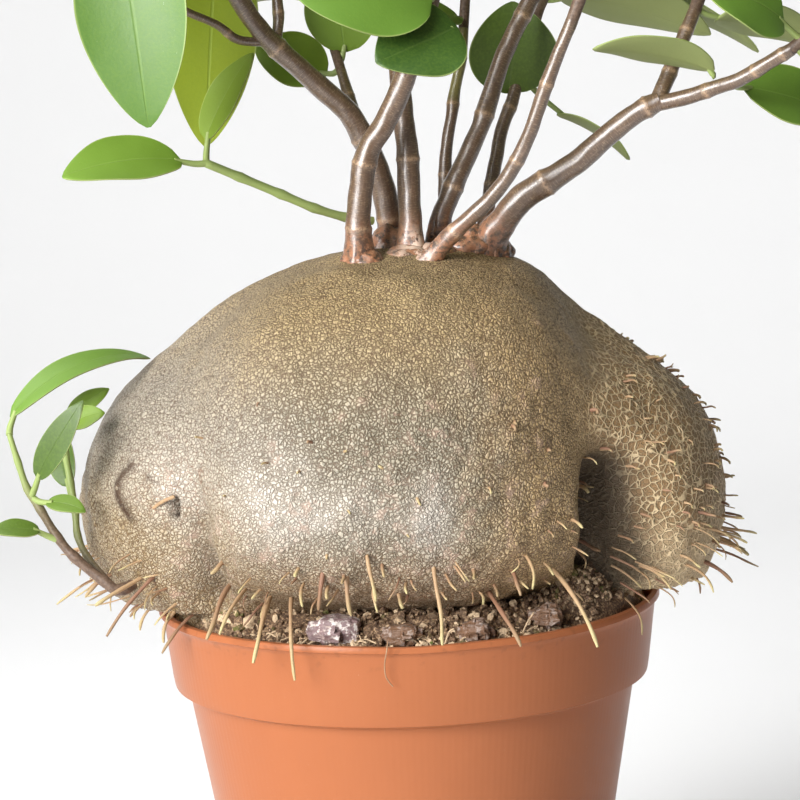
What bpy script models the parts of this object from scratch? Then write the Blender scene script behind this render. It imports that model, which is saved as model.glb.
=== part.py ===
"""A potted ant plant: a swollen tuber with short aerial roots in a plastic nursery pot.

The tuber is a radial surface over several overlapping lobes. Woody stems rise from its
crown, and leafy green shoots with opposite leaves grow on from the ends of the stems.
Shapes are worked out in millimetres and turned into metres when a mesh is made.
The origin is at the middle of the pot's flat base, with +Z up and the front at -Y.
"""
import math
import random

import bmesh
import bpy
import numpy as np
from mathutils import Vector
from mathutils.bvhtree import BVHTree

MM = 0.001
GAP = 0.3

# Pot
RIM_RADIUS = 65.0
POT_HEIGHT = 115.0
BAND_HEIGHT = 21.0
BAND_FOOT_RADIUS = 61.6
BODY_TOP_RADIUS = 58.2
BASE_RADIUS = 42.0
WALL = 1.4
FLOOR = 1.8
POT_SIDES = 36
DRAIN_HOLES = 6
DRAIN_HOLE_RADIUS = 4.0
DRAIN_HOLE_CIRCLE = 29.0
DRAIN_HOLE_SIDES = 10

# Soil
SOIL_LEVEL = 111.5
SOIL_RINGS = 5
SOIL_ROUGHNESS = 1.3
SOIL_FRONT_RISE = 1.2
HEAP_RADIUS = 61.0
HEAP_WIDTH = 12.0
HEAP_HEIGHT = 7.5
# Mounds of soil against the tuber: middle, spread and height
SOIL_MOUNDS = (
    ((53, -28), (11, 14), 5.5),
    ((-46, -36), (10, 10), 2.5),
)
SOIL_SEED = 11

# Tuber: each lobe has a centre, three half-axes and a fullness, 2 for an ellipsoid
TUBER_CENTRE = np.array([0.0, 0.0, 146.0])
LOBES = {
    "front": ((-2, -16, 160), (52, 50, 44), 2.3),
    "front_low": ((-2, -22, 146.5), (51, 42, 28), 2.6),
    "left_bridge": ((-34, -14, 156), (32, 36, 28), 2.0),
    "right_bridge": ((34, -12, 156), (32, 34, 27), 2.0),
    "left": ((-44, -3, 143), (38, 42, 37), 2.2),
    "right": ((45, 0, 141), (37, 41, 36), 2.2),
    "left_shoulder": ((-20, -2, 140), (62, 42, 61), 1.6),
    "right_shoulder": ((18, 0, 140), (62, 42, 59), 1.6),
    "back_left": ((-18, 30, 146), (46, 40, 42), 2.3),
    "back_right": ((24, 26, 144), (44, 40, 42), 2.3),
    "crown": ((6, -7, 189), (34, 27, 16.5), 2.2),
    "foot": ((0, 4, 110), (44, 38, 40), 2.2),
}
LOBE_BLEND = 1.5
# Creases between lobes: points along the bottom of each, width and depth
CREASES = (
    (((-50, -46, 158), (-49, -47, 150), (-48.5, -46, 139), (-49, -41, 126)), 4.2, 5.0),
    (((48.5, -42, 152), (48, -43, 145), (48, -41, 134), (48, -36, 122)), 4.5, 6.0),
    (((53, -42, 147), (54, -41, 134), (57, -36, 120)), 6.5, 8.0),
    (((2, 62, 170), (4, 60, 124)), 6.0, 5.0),
)
TUBER_DIVISIONS = 16
NECK_RADIUS = 60.5
NECK_LEVEL = 118.5
WART_COUNT = 70
WART_SEED = 5
NET_CELL = 10.0
NET_HEIGHT = 1.3
NET_SEED = 8
ENTRANCE_HOLES = (
    ((-57, -42, 147), (1.6, 4.0, 2.8)),
    ((-70, -30, 151), (1.4, 3.0, 2.2)),
    ((34, 12, 198), (4.5, 4.0, 3.5)),
)

# Roots: base, bend and tip of those that hang over the front of the rim and beside it
PLACED_ROOTS = (
    ((-31, -50, 124), (-29, -63, 121), (-28, -66, 108)),
    ((-36, -46, 124), (-36, -60, 121), (-38, -63, 112)),
    ((6, -60, 136), (7, -68, 127), (8, -71, 116)),
    ((20, -52, 124), (23, -66, 122), (26, -70, 115)),
    ((36, -50, 130), (41, -61, 124), (45, -65, 113)),
    ((-45, -40, 127), (-47, -55, 124), (-49, -60, 117)),
    ((-40, -44, 127), (-43, -57, 125), (-46, -61, 119)),
    ((-19, -58, 137), (-21, -63, 130), (-22, -61, 124)),
    ((-14, -60, 137), (-15, -65, 129), (-14, -64, 123)),
    ((-10, -62, 141), (-9, -68, 134), (-8, -67, 127)),
    ((-60, -36, 131), (-67, -41, 126), (-75, -45, 116)),
    ((-65, -34, 129), (-72, -39, 126), (-78, -42, 123)),
)
ROOT_RADIUS = 0.75
ROOT_DEPTH = 2.5
FRINGE_ROOTS = 56
SPINE_ROOTS = 24
ROOT_SEED = 21

# Stones and bark chips on the soil: place and half-axes
SOIL_CHIPS = (
    ((-17.5, -53.5, 117.2), (6.6, 4.6, 4.4)),
    ((-2, -56, 116.0), (4.5, 3.6, 3.2)),
    ((16, -55.5, 116.0), (4.2, 3.4, 3.0)),
    ((34, -46, 117.0), (4.6, 4.0, 3.0)),
)
CHIP_SEED = 31

# Woody stems: centre line from inside the crown up, with radii at both ends
WOODY_STEMS = {
    1: [((-8, -22, 186), (-9, -22, 206), (-9, -22, 213), (-8, -22, 222), (-6, -22, 231),
         (-1, -22, 239), (3, -23, 247), (7, -24, 257), (10, -24, 265)), 3.9, 2.9],
    2: [((-1, -4, 186), (-1, -4, 207), (-2, -5, 218), (-4, -6, 226), (-7, -8, 234),
         (-11, -10, 241), (-17, -12, 247), (-23, -14, 253), (-29, -16, 259),
         (-34, -18, 266), (-38, -20, 273)), 3.7, 2.6],
    3: [((4, -13, 186), (4, -13, 205), (4, -12, 218), (4, -11, 231), (3, -10, 242),
         (3, -8, 253), (5, -5, 263), (7, 0, 273)), 3.6, 2.6],
    4: [((11, -2, 186), (11, -2, 208), (15, 0, 219), (19, 2, 227), (23, 4, 235),
         (26, 6, 243), (29, 8, 251), (33, 10, 259), (37, 12, 266)), 3.1, 2.4],
    5: [((3, -21, 190), (8, -23, 203), (15, -26, 211), (24, -28, 219), (30, -30, 227),
         (34, -32, 235), (37, -33, 243), (41, -34, 253), (45, -35, 262)), 2.8, 2.0],
    6: [((18, -7, 188), (22, -8, 203), (27, -10, 211), (32, -12, 217), (38, -14, 221),
         (46, -16, 226), (53, -18, 232), (61, -20, 238), (67, -21, 241)), 4.8, 2.7],
    7: [((13, 14, 186), (13, 14, 206), (14, 18, 226), (16, 20, 237), (17, 22, 243),
         (19, 24, 251), (20, 26, 259)), 1.9, 1.4],
    8: [((23, 9, 186), (23, 10, 205), (25, 14, 216), (27, 17, 225), (29, 20, 233),
         (32, 23, 240), (34, 26, 246)), 2.2, 1.7],
}
# Forks: stem they leave, centre line, radii at both ends
WOODY_FORKS = {
    "2a": [2, ((-29, -16, 259), (-37, -18, 260), (-42, -21.5, 264), (-48, -25, 267),
               (-54, -27.5, 270.5)), 1.3, 1.0],
    "2b": [2, ((-28, -15.5, 258), (-27, -13, 264), (-27, -12, 270), (-26, -10, 278)), 1.6, 1.3],
    "2c": [2, ((-8, -8, 236), (-10, -2, 243), (-12, 4, 250)), 1.9, 1.4],
    "6a": [6, ((66, -21, 240), (69, -18, 246), (73, -14, 254), (77, -10, 262)), 2.4, 1.9],
    "6b": [6, ((65, -20.5, 240), (74, -24, 242), (80, -27, 244), (86, -30, 246),
               (93, -33, 250), (98, -35, 253)), 2.3, 1.8],
}
STEM_SIDES = 8
JOINT_SWELL = 1.14
JOINT_EVERY = 4

# Leafy shoots: wood end each grows from, where its own tip comes, and its leaf pairs
SHOOTS = {
    "1": ((24, -30, 352), 3),
    "2": ((-66, -18, 350), 3),
    "2a": ((-92, -54, 322), 2),
    "2b": ((-26, 0, 372), 4),
    "2c": ((-34, 54, 338), 3),
    "3": ((8, 8, 396), 4),
    "4": ((58, 26, 370), 4),
    "5": ((62, -56, 342), 3),
    "6a": ((98, 10, 344), 3),
    "6b": ((138, -50, 312), 2),
    "7": ((22, 66, 356), 3),
    "8": ((70, 64, 330), 3),
}
THIN_SHOOTS = ("2a", "2b", "2c", "7")
SHOOT_RADIUS = 1.9
SHOOT_TIP_RADIUS = 0.9
SHOOT_SIDES = 6
LEAF_LENGTH = (40.0, 58.0)
LEAF_WIDTH_RATIO = 0.56
LEAF_THICKNESS = 1.3
PETIOLE = 4.0
STALK_START = 0.35
STALK_RADIUS = 0.8
CLEARANCE = 1.0
TRIES = 16

# Leaves set by hand on a shoot: base, tip, width and the way the upper face looks
PLACED_LEAVES = {
    "1": (((11, -35, 268.5), (-22, -48, 271.5), 25, (0.05, -0.9, 0.4)),
          ((17, -32, 261.5), (-3, -46, 254), 22, (0.2, -0.85, 0.5))),
    "2a": (((-63, -46, 292), (-57.5, -54, 241), 28, (-0.2, -1.0, 0.2)),),
    "2b": (((-42, -3, 286), (-47, -7, 233), 24, (0.2, -1.0, 0.1)),),
    "2c": (((-16, 6, 249), (-34, 8, 257), 17, (0.1, -0.8, 0.6)),
           ((-11, 8, 255), (-11, 4, 280), 19, (0.1, -1.0, 0.0))),
    "4": (((45, 13, 267.5), (85, 28, 255), 19, (0.0, 0.6, 0.8)),),
    "6a": (((83, -8, 260.5), (109, 4, 252.5), 17, (0.0, 0.5, 0.85)),),
    "6b": (((96, -38, 260), (75, -50, 269.5), 22, (0.0, -0.8, 0.6)),
           ((104, -36, 249), (127, -46, 238), 20, (0.4, -0.8, 0.6))),
    "7": (((19, 25, 262), (6, 14, 262), 11, (0.0, -0.7, 0.7)),),
    "8": (((31, 25, 242), (33, 21, 266), 24, (0.0, -1.0, 0.1)),
          ((44, 28, 236), (63, 32, 222.7), 13, (0.45, 0.12, 0.9))),
}
# Leaves that grow from the wood of fork 6b: the stalk's start, then base, tip, width and upper face
WOOD_LEAVES = (
    ((79.5, -27.1, 246.9), (80, -27.5, 248.5), (49.7, -36, 255), 15, (0.0, 0.45, 0.9)),
    ((84.9, -26.7, 244.7), (88, -19, 243.5), (113, -10, 235), 19, (0.1, -0.75, 0.65)),
)

LOW_SHOOT = ((-5.5, -6.0, 212.6), (-12, -9.5, 214), (-20, -13, 217), (-28, -16, 221),
             (-38, -20, 226), (-47, -24, 230.5))
LOW_SHOOT_RADIUS = 1.1
LOW_SHOOT_LEAVES = (
    ((-52, -26, 231), (-80.5, -38, 228.8), 18, (0.0, -0.6, 0.8)),
    ((-46, -20, 235.5), (-33.5, -14.5, 256.5), 12, (-0.75, -0.65, 0.0)),
)

BASAL_SHOOT = ((-60, -24, 131), (-71, -34, 125.5), (-76, -34, 128), (-83, -33, 134),
               (-87, -32, 139), (-91, -31, 146), (-94, -30, 151), (-96, -30, 158), (-98, -30, 166))
BASAL_TWIG = ((-74.6, -33.9, 127.4), (-80, -29, 133), (-82.5, -26, 138), (-83, -24, 144),
              (-84, -22, 151), (-85, -21, 158), (-85.5, -21, 164))
BASAL_RADIUS = 1.5
TWIG_RADIUS = 0.85
BASAL_LEAVES = (
    ((-97.5, -28, 169), (-63.6, -6, 179.5), 9, (-0.15, -0.55, 0.8), 1.2),
    ((-91, -33.5, 154), (-78, -39, 174), 8, (-0.4, -1.0, 0.2)),
    ((-89, -33.5, 148), (-79, -38, 146), 6, (0.0, -0.6, 0.8)),
    ((-91, -33.5, 141), (-103, -38, 142), 6.5, (0.0, -0.6, 0.8)),
    ((-83.5, -24.5, 166), (-74, -27, 169), 6.5, (0.0, -0.8, 0.6)),
    ((-84.5, -16.5, 167), (-74, -12, 173), 5.5, (0.0, -0.8, 0.6)),
    ((-85, -17, 149), (-87, -8, 162), 8, (-0.4, -0.8, 0.3)),
)

POT_COLOUR = (0.70, 0.25, 0.13)
SOIL_COLOUR = (0.035, 0.022, 0.015)
CHIP_COLOUR = (0.16, 0.12, 0.11)
TUBER_COLOUR = (0.27, 0.20, 0.11)
BARK_COLOUR = (0.17, 0.10, 0.07)
LEAF_COLOUR = (0.10, 0.27, 0.04)


def clear_scene():
    for item in list(bpy.data.objects):
        bpy.data.objects.remove(item, do_unlink=True)


def make_material(name, colour, roughness):
    material = bpy.data.materials.new(name)
    material.use_nodes = True
    shader = material.node_tree.nodes["Principled BSDF"]
    shader.inputs["Base Color"].default_value = (*colour, 1.0)
    shader.inputs["Roughness"].default_value = roughness
    shader.inputs["Metallic"].default_value = 0.0
    return material


def make_object(name, points, faces, material=None, smooth_angle=50.0):
    """One mesh object from points in millimetres, with its faces turned outward."""
    mesh = bpy.data.meshes.new(name)
    mesh.from_pydata([tuple(float(c) * MM for c in point) for point in points], [], faces)
    shape = bmesh.new()
    shape.from_mesh(mesh)
    bmesh.ops.recalc_face_normals(shape, faces=shape.faces)
    shape.to_mesh(mesh)
    shape.free()
    mesh.shade_smooth()
    mesh.set_sharp_from_angle(angle=math.radians(smooth_angle))
    item = bpy.data.objects.new(name, mesh)
    bpy.context.scene.collection.objects.link(item)
    if material:
        mesh.materials.append(material)
    return item


def apply_modifiers(item):
    """Replaces the object's mesh with what its modifiers make of it."""
    graph = bpy.context.evaluated_depsgraph_get()
    mesh = bpy.data.meshes.new_from_object(item.evaluated_get(graph))
    item.modifiers.clear()
    item.data = mesh


def union_all(base, pieces):
    """Joins the pieces to the base in one Boolean union and removes them."""
    group = bpy.data.collections.new(base.name + "_pieces")
    bpy.context.scene.collection.children.link(group)
    for piece in pieces:
        bpy.context.scene.collection.objects.unlink(piece)
        group.objects.link(piece)
    join = base.modifiers.new("join", "BOOLEAN")
    join.operation = "UNION"
    join.operand_type = "COLLECTION"
    join.collection = group
    join.solver = "EXACT"
    join.use_self = True
    apply_modifiers(base)
    for piece in list(group.objects):
        bpy.data.objects.remove(piece, do_unlink=True)
    bpy.data.collections.remove(group)


def cut_by(item, cutter):
    cut = item.modifiers.new("clear_of_" + cutter.name, "BOOLEAN")
    cut.operation = "DIFFERENCE"
    cut.object = cutter
    cut.solver = "EXACT"


def hide_cutter(cutter):
    cutter.hide_render = True
    cutter.display_type = "WIRE"


def lathe(profile, sides):
    """Points and faces of a closed profile of (radius, height) turned about Z."""
    points = []
    for radius, height in profile:
        for step in range(sides):
            angle = 2 * math.pi * step / sides
            points.append((radius * math.cos(angle), radius * math.sin(angle), height))
    faces = []
    rings = len(profile)
    for ring in range(rings - 1):
        for step in range(sides):
            following = (step + 1) % sides
            faces.append((ring * sides + step, ring * sides + following,
                          (ring + 1) * sides + following, (ring + 1) * sides + step))
    faces.append(tuple(range(sides)))
    faces.append(tuple(range((rings - 1) * sides, rings * sides)))
    return points, faces


def body_radius(height):
    """Outer radius of the pot's plain body below the rim band."""
    top = POT_HEIGHT - BAND_HEIGHT
    return BASE_RADIUS + (BODY_TOP_RADIUS - BASE_RADIUS) * height / top


def band_radius(height):
    """Outer radius of the rim band."""
    share = (height - POT_HEIGHT + BAND_HEIGHT) / BAND_HEIGHT
    return BAND_FOOT_RADIUS + (RIM_RADIUS - 0.8 - BAND_FOOT_RADIUS) * share


def inner_radius(height):
    """Radius of the pot's inside, with the step below the band."""
    step = POT_HEIGHT - BAND_HEIGHT - WALL
    return (band_radius(height) if height > step else body_radius(height)) - WALL


def make_pot(material):
    band_foot = POT_HEIGHT - BAND_HEIGHT
    lip = 2.2
    outside = [
        (BASE_RADIUS - 1.6, 0.0),
        (BASE_RADIUS, 1.6),
        (body_radius(band_foot - 0.8), band_foot - 0.8),
        (BODY_TOP_RADIUS + 0.6, band_foot),
        (BAND_FOOT_RADIUS - 0.5, band_foot + 0.1),
        (BAND_FOOT_RADIUS, band_foot + 0.7),
        (band_radius(POT_HEIGHT - lip), POT_HEIGHT - lip),
        (RIM_RADIUS, POT_HEIGHT - lip * 0.75),
        (RIM_RADIUS, POT_HEIGHT - lip * 0.25),
        (RIM_RADIUS - 0.6, POT_HEIGHT),
    ]
    inside = [
        (inner_radius(POT_HEIGHT) + 0.4, POT_HEIGHT),
        (inner_radius(POT_HEIGHT - 1.0), POT_HEIGHT - 1.0),
        (inner_radius(band_foot + 0.5), band_foot + 0.5),
        (inner_radius(band_foot - WALL), band_foot - WALL - 1.0),
        (inner_radius(FLOOR + 1.0), FLOOR + 1.0),
        (inner_radius(FLOOR) - 1.5, FLOOR),
    ]
    points, faces = lathe(outside + inside, POT_SIDES)
    pot = make_object("pot", points, faces, material, 35.0)
    for number in range(DRAIN_HOLES):
        angle = 2 * math.pi * (number + 0.5) / DRAIN_HOLES
        cylinder = lathe([(DRAIN_HOLE_RADIUS, -2.0), (DRAIN_HOLE_RADIUS, FLOOR + 3.0)], DRAIN_HOLE_SIDES)
        cutter = make_object("drain_hole_%d" % (number + 1), *cylinder)
        cutter.location = (DRAIN_HOLE_CIRCLE * math.cos(angle) * MM,
                           DRAIN_HOLE_CIRCLE * math.sin(angle) * MM, 0.0)
        hide_cutter(cutter)
        cut_by(pot, cutter)
    return pot


def lobe_distance(points):
    """Rough signed distance from the tuber's lobes, smoothly joined."""
    total = np.zeros(len(points))
    for centre, axes, fullness in LOBES.values():
        scaled = np.abs((points - np.array(centre, float)) / np.array(axes, float))
        size = (scaled ** fullness).sum(axis=1) ** (1.0 / fullness)
        total += np.exp(-(size - 1.0) * min(axes) / LOBE_BLEND)
    return -LOBE_BLEND * np.log(np.maximum(total, 1e-30))


def lobe_radius(directions):
    """Distance from the tuber's centre to the outside of its lobes, found from outside in."""
    radius = np.full(len(directions), 130.0)
    for _ in range(60):
        distance = lobe_distance(TUBER_CENTRE + directions * radius[:, None])
        radius -= np.clip(distance, -2.0, 30.0) * 0.8
    return radius


def unit_vectors(count, seed):
    """Evenly random directions."""
    draw = np.random.default_rng(seed)
    vectors = draw.normal(size=(count, 3))
    return vectors / np.linalg.norm(vectors, axis=1)[:, None]


def distance_to_line(places, start, end):
    start, end = np.array(start, float), np.array(end, float)
    span = end - start
    t = np.clip((places - start) @ span / (span @ span), 0.0, 1.0)
    return np.linalg.norm(places - start - t[:, None] * span, axis=1)


def tuber_relief(places):
    """Creases, warts all over and a raised net on the right lobe, in millimetres outward."""
    relief = np.zeros(len(places))
    for points, width, depth in CREASES:
        distance = np.min([distance_to_line(places, start, end)
                           for start, end in zip(points[:-1], points[1:])], axis=0)
        relief -= depth * np.exp(-(distance / width) ** 2)
    draw = random.Random(WART_SEED)
    directions = unit_vectors(WART_COUNT, WART_SEED)
    warts = TUBER_CENTRE + directions * lobe_radius(directions)[:, None]
    for wart in warts:
        size = draw.uniform(4.0, 7.0)
        height = draw.uniform(0.4, 1.2)
        relief += height * np.exp(-((places - wart) ** 2).sum(axis=1) / size ** 2)
    cells = np.random.default_rng(NET_SEED).uniform((30, -60, 105), (95, 60, 200), size=(260, 3))
    distance = np.sort(np.linalg.norm(places[:, None, :] - cells[None], axis=2), axis=1)
    ridge = np.exp(-((distance[:, 1] - distance[:, 0]) / (0.25 * NET_CELL)) ** 2)
    side = np.clip((places[:, 0] - 46.0) / 8.0, 0.0, 1.0)
    return relief + NET_HEIGHT * ridge * side


def tuber_places(directions, swell=0.0):
    """Points of the tuber's surface along directions from its centre, necked in at the rim."""
    radius = lobe_radius(directions)
    radius += tuber_relief(TUBER_CENTRE + directions * radius[:, None])
    places = TUBER_CENTRE + directions * radius[:, None]
    across = np.linalg.norm(places[:, :2], axis=1)
    wide = (places[:, 2] < NECK_LEVEL) & (across > NECK_RADIUS)
    radius[wide] *= NECK_RADIUS / across[wide]
    return TUBER_CENTRE + directions * (radius + swell)[:, None]


def ball_grid(divisions):
    """Directions and triangles of a cube's grid spread over a ball."""
    index = {}
    directions = []
    faces = []

    def corner(i, j, k):
        if (i, j, k) not in index:
            cube = np.array([i, j, k]) / divisions * 2.0 - 1.0
            spread = np.tan(cube * math.pi / 4)
            index[(i, j, k)] = len(directions)
            directions.append(spread / np.linalg.norm(spread))
        return index[(i, j, k)]

    for axis in range(3):
        for side in (0, divisions):
            for a in range(divisions):
                for b in range(divisions):
                    quad = []
                    for da, db in ((0, 0), (1, 0), (1, 1), (0, 1)):
                        place = [0, 0, 0]
                        place[axis] = side
                        place[(axis + 1) % 3] = a + da
                        place[(axis + 2) % 3] = b + db
                        quad.append(corner(*place))
                    faces.append((quad[0], quad[1], quad[2]))
                    faces.append((quad[0], quad[2], quad[3]))
    return np.array(directions), faces


def make_tube(name, path, radii, sides, material=None):
    """A closed tube with one ring at each point of the path."""
    path = [Vector(point) for point in path]
    count = len(path)
    tangents = [(path[min(i + 1, count - 1)] - path[max(i - 1, 0)]).normalized() for i in range(count)]
    side = tangents[0].orthogonal().normalized()
    points = []
    for place, tangent, radius in zip(path, tangents, radii):
        side = (side - tangent * side.dot(tangent)).normalized()
        other = tangent.cross(side)
        for step in range(sides):
            angle = 2 * math.pi * step / sides
            points.append(place + (side * math.cos(angle) + other * math.sin(angle)) * radius)
    faces = [tuple(range(sides)), tuple(range((count - 1) * sides, count * sides))]
    for ring in range(count - 1):
        for step in range(sides):
            following = (step + 1) % sides
            faces.append((ring * sides + step, ring * sides + following,
                          (ring + 1) * sides + following, (ring + 1) * sides + step))
    return make_object(name, points, faces, material, 60.0)


def make_root(name, base, bend, tip, radius):
    """A thin three-sided root that tapers to a point."""
    base, bend, tip = Vector(base), Vector(bend), Vector(tip)
    side = (bend - base).orthogonal().normalized()
    points = []
    for place, onward, size in ((base, bend - base, radius), (bend, tip - base, radius * 0.8)):
        onward = onward.normalized()
        side = (side - onward * side.dot(onward)).normalized()
        other = onward.cross(side)
        for step in range(3):
            angle = 2 * math.pi * step / 3
            points.append(place + (side * math.cos(angle) + other * math.sin(angle)) * size)
    points.append(tip)
    faces = [(0, 1, 2), (3, 4, 6), (4, 5, 6), (5, 3, 6)]
    for step in range(3):
        following = (step + 1) % 3
        faces.append((step, following, 3 + following, 3 + step))
    return make_object(name, points, faces)


def mound_height(x, y):
    """How far the soil is raised by the heap round the tuber and by the mounds."""
    climb = np.clip((HEAP_RADIUS - np.hypot(x, y)) / HEAP_WIDTH, 0.0, 1.0)
    heap = HEAP_HEIGHT * climb ** 2 * (3 - 2 * climb)
    return heap + sum(height * np.exp(-((x - middle[0]) / spread[0]) ** 2 - ((y - middle[1]) / spread[1]) ** 2)
                      for middle, spread, height in SOIL_MOUNDS)


def root_is_clear(place, margin=1.2):
    """True where a root's point is clear of the pot's rim, of the soil and of the basal shoot."""
    across = math.hypot(place[0], place[1])
    soil = SOIL_LEVEL + SOIL_ROUGHNESS + SOIL_FRONT_RISE + mound_height(place[0], place[1])
    near_pot = across < RIM_RADIUS + margin and place[2] < max(POT_HEIGHT, soil) + margin
    shoot = min((Vector(place) - Vector(point)).length for point in BASAL_SHOOT + BASAL_TWIG)
    chip = min((Vector(place) - Vector(centre)).length - max(axes) for centre, axes in SOIL_CHIPS)
    return not near_pot and shoot > 6.5 and chip > 1.0


def surface_along(tree, outward):
    """Where a line from the tuber's centre leaves its surface."""
    return tree.ray_cast(Vector(TUBER_CENTRE), outward)[0]


def make_roots(tree):
    """Short aerial roots: those that show in front, a fringe below and spines on the right."""
    draw = random.Random(ROOT_SEED)
    roots = []
    for base, bend, tip in PLACED_ROOTS:
        outward = (Vector(base) - Vector(TUBER_CENTRE)).normalized()
        surface = surface_along(tree, outward)
        roots.append(make_root("root", surface - outward * ROOT_DEPTH, bend, tip, ROOT_RADIUS))
    wanted = {"fringe": FRINGE_ROOTS, "spine": SPINE_ROOTS}
    for kind, count in wanted.items():
        made = 0
        while made < count:
            if kind == "fringe":
                angle = draw.uniform(0, 2 * math.pi)
                rise = draw.uniform(-0.46, -0.16)
                length = draw.uniform(7.0, 16.0)
            else:
                angle = draw.uniform(-1.2, 0.9)
                rise = draw.uniform(-0.1, 0.55)
                length = draw.uniform(4.0, 8.0)
            outward = Vector((math.cos(angle), math.sin(angle), rise)).normalized()
            surface = surface_along(tree, outward)
            lean = Vector((draw.uniform(-0.4, 0.4), draw.uniform(-0.4, 0.4), draw.uniform(-0.5, 0.1)))
            bend = surface + (outward + lean * 0.5).normalized() * length * 0.5
            tip = bend + (outward * 0.5 + lean + Vector((0, 0, -0.35))).normalized() * length * 0.5
            if root_is_clear(bend) and root_is_clear(tip) and root_is_clear((bend + surface) / 2):
                roots.append(make_root("root", surface - outward * ROOT_DEPTH, bend, tip, ROOT_RADIUS))
                made += 1
    return roots


def make_tuber(material):
    directions, faces = ball_grid(TUBER_DIVISIONS)
    tuber = make_object("caudex", tuber_places(directions), faces, material, 70.0)
    tree = tree_of_object(tuber)
    union_all(tuber, make_roots(tree))
    for number, (centre, axes) in enumerate(ENTRANCE_HOLES):
        outward = (Vector(centre) - Vector(TUBER_CENTRE)).normalized()
        surface = np.array(surface_along(tree, outward))
        grid, triangles = ball_grid(2)
        cutter = make_object("entrance_hole_%d" % (number + 1), surface + grid * np.array(axes), triangles)
        hide_cutter(cutter)
        cut_by(tuber, cutter)
    return tuber


def make_tuber_clearance():
    """The tuber's outside with the gap that its neighbours keep to it."""
    directions, faces = ball_grid(TUBER_DIVISIONS)
    clearance = make_object("caudex_clearance", tuber_places(directions, GAP + 0.05), faces)
    hide_cutter(clearance)
    return clearance


def make_soil(material, clearance):
    """The packed soil: the pot's inside, less the gap, with an uneven top."""
    draw = random.Random(SOIL_SEED)
    step = POT_HEIGHT - BAND_HEIGHT - WALL
    side = [
        (inner_radius(FLOOR + 3.0) - 2.5 - GAP, FLOOR + GAP),
        (inner_radius(FLOOR + 3.0) - GAP, FLOOR + 3.0),
        (inner_radius(step) - GAP - 0.1, step - 1.0),
        (inner_radius(step + 2.5) - GAP - 0.2, step + 2.5),
        (inner_radius(SOIL_LEVEL) - GAP - 0.3, SOIL_LEVEL - 0.5),
    ]
    top = [((inner_radius(SOIL_LEVEL) - 1.5) * (1 - ring / SOIL_RINGS), SOIL_LEVEL)
           for ring in range(SOIL_RINGS)]
    points, faces = lathe(side + top, POT_SIDES)
    uneven = []
    for number, (x, y, z) in enumerate(points):
        if number >= len(side) * POT_SIDES:
            front = SOIL_FRONT_RISE * max(0.0, -y / RIM_RADIUS)
            z += front + mound_height(x, y) + draw.uniform(-SOIL_ROUGHNESS, SOIL_ROUGHNESS)
        uneven.append((x, y, z))
    soil = make_object("potting_soil", uneven, faces[:-1], material, 60.0)
    fill_top(soil, faces[-1])
    cut_by(soil, clearance)
    return soil


def fill_top(item, ring):
    """Closes the innermost ring with a fan, so the uneven ring stays closed."""
    shape = bmesh.new()
    shape.from_mesh(item.data)
    shape.verts.ensure_lookup_table()
    corners = [shape.verts[index] for index in ring]
    middle = shape.verts.new((0.0, 0.0, SOIL_LEVEL * MM))
    for index, corner in enumerate(corners):
        shape.faces.new((corner, corners[(index + 1) % len(corners)], middle))
    bmesh.ops.recalc_face_normals(shape, faces=shape.faces)
    shape.to_mesh(item.data)
    shape.free()


def make_chips(material, clearance, soil):
    """Angular chips that lie half sunk in the soil, each in a bed cut to fit it."""
    draw = random.Random(CHIP_SEED)
    grid, triangles = ball_grid(3)
    for number, (centre, axes) in enumerate(SOIL_CHIPS):
        rough = np.array([draw.uniform(0.8, 1.1) for _ in grid])[:, None]
        shape = grid * rough * np.array(axes)
        bed = make_object("chip_bed_%d" % (number + 1),
                          np.array(centre) + shape + grid * (GAP + 0.1), triangles)
        hide_cutter(bed)
        cut_by(soil, bed)
        chip = make_object("soil_chip_%d" % (number + 1), np.array(centre) + shape, triangles,
                           material, 25.0)
        cut_by(chip, clearance)


def stem_radii(path, first, last):
    """Radii along a woody stem: a flared foot, an even taper and swollen joints."""
    radii = []
    count = len(path)
    for index in range(count):
        radius = first + (last - first) * index / (count - 1)
        if index and index % JOINT_EVERY == 0 and index < count - 1:
            radius *= JOINT_SWELL
        radii.append(radius)
    return radii


def make_woody_stems(material, clearance):
    stems = {}
    for number, (path, first, last) in WOODY_STEMS.items():
        stem = make_tube("woody_stem_%d" % number, path, stem_radii(path, first, last),
                         STEM_SIDES, material)
        forks = []
        for fork_path, fork_first, fork_last in (
                fork[1:] for fork in WOODY_FORKS.values() if fork[0] == number):
            forks.append(make_tube("fork", fork_path, stem_radii(fork_path, fork_first, fork_last),
                                   SHOOT_SIDES))
        if forks:
            union_all(stem, forks)
        cut_by(stem, clearance)
        stems[number] = stem
    return stems


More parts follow.
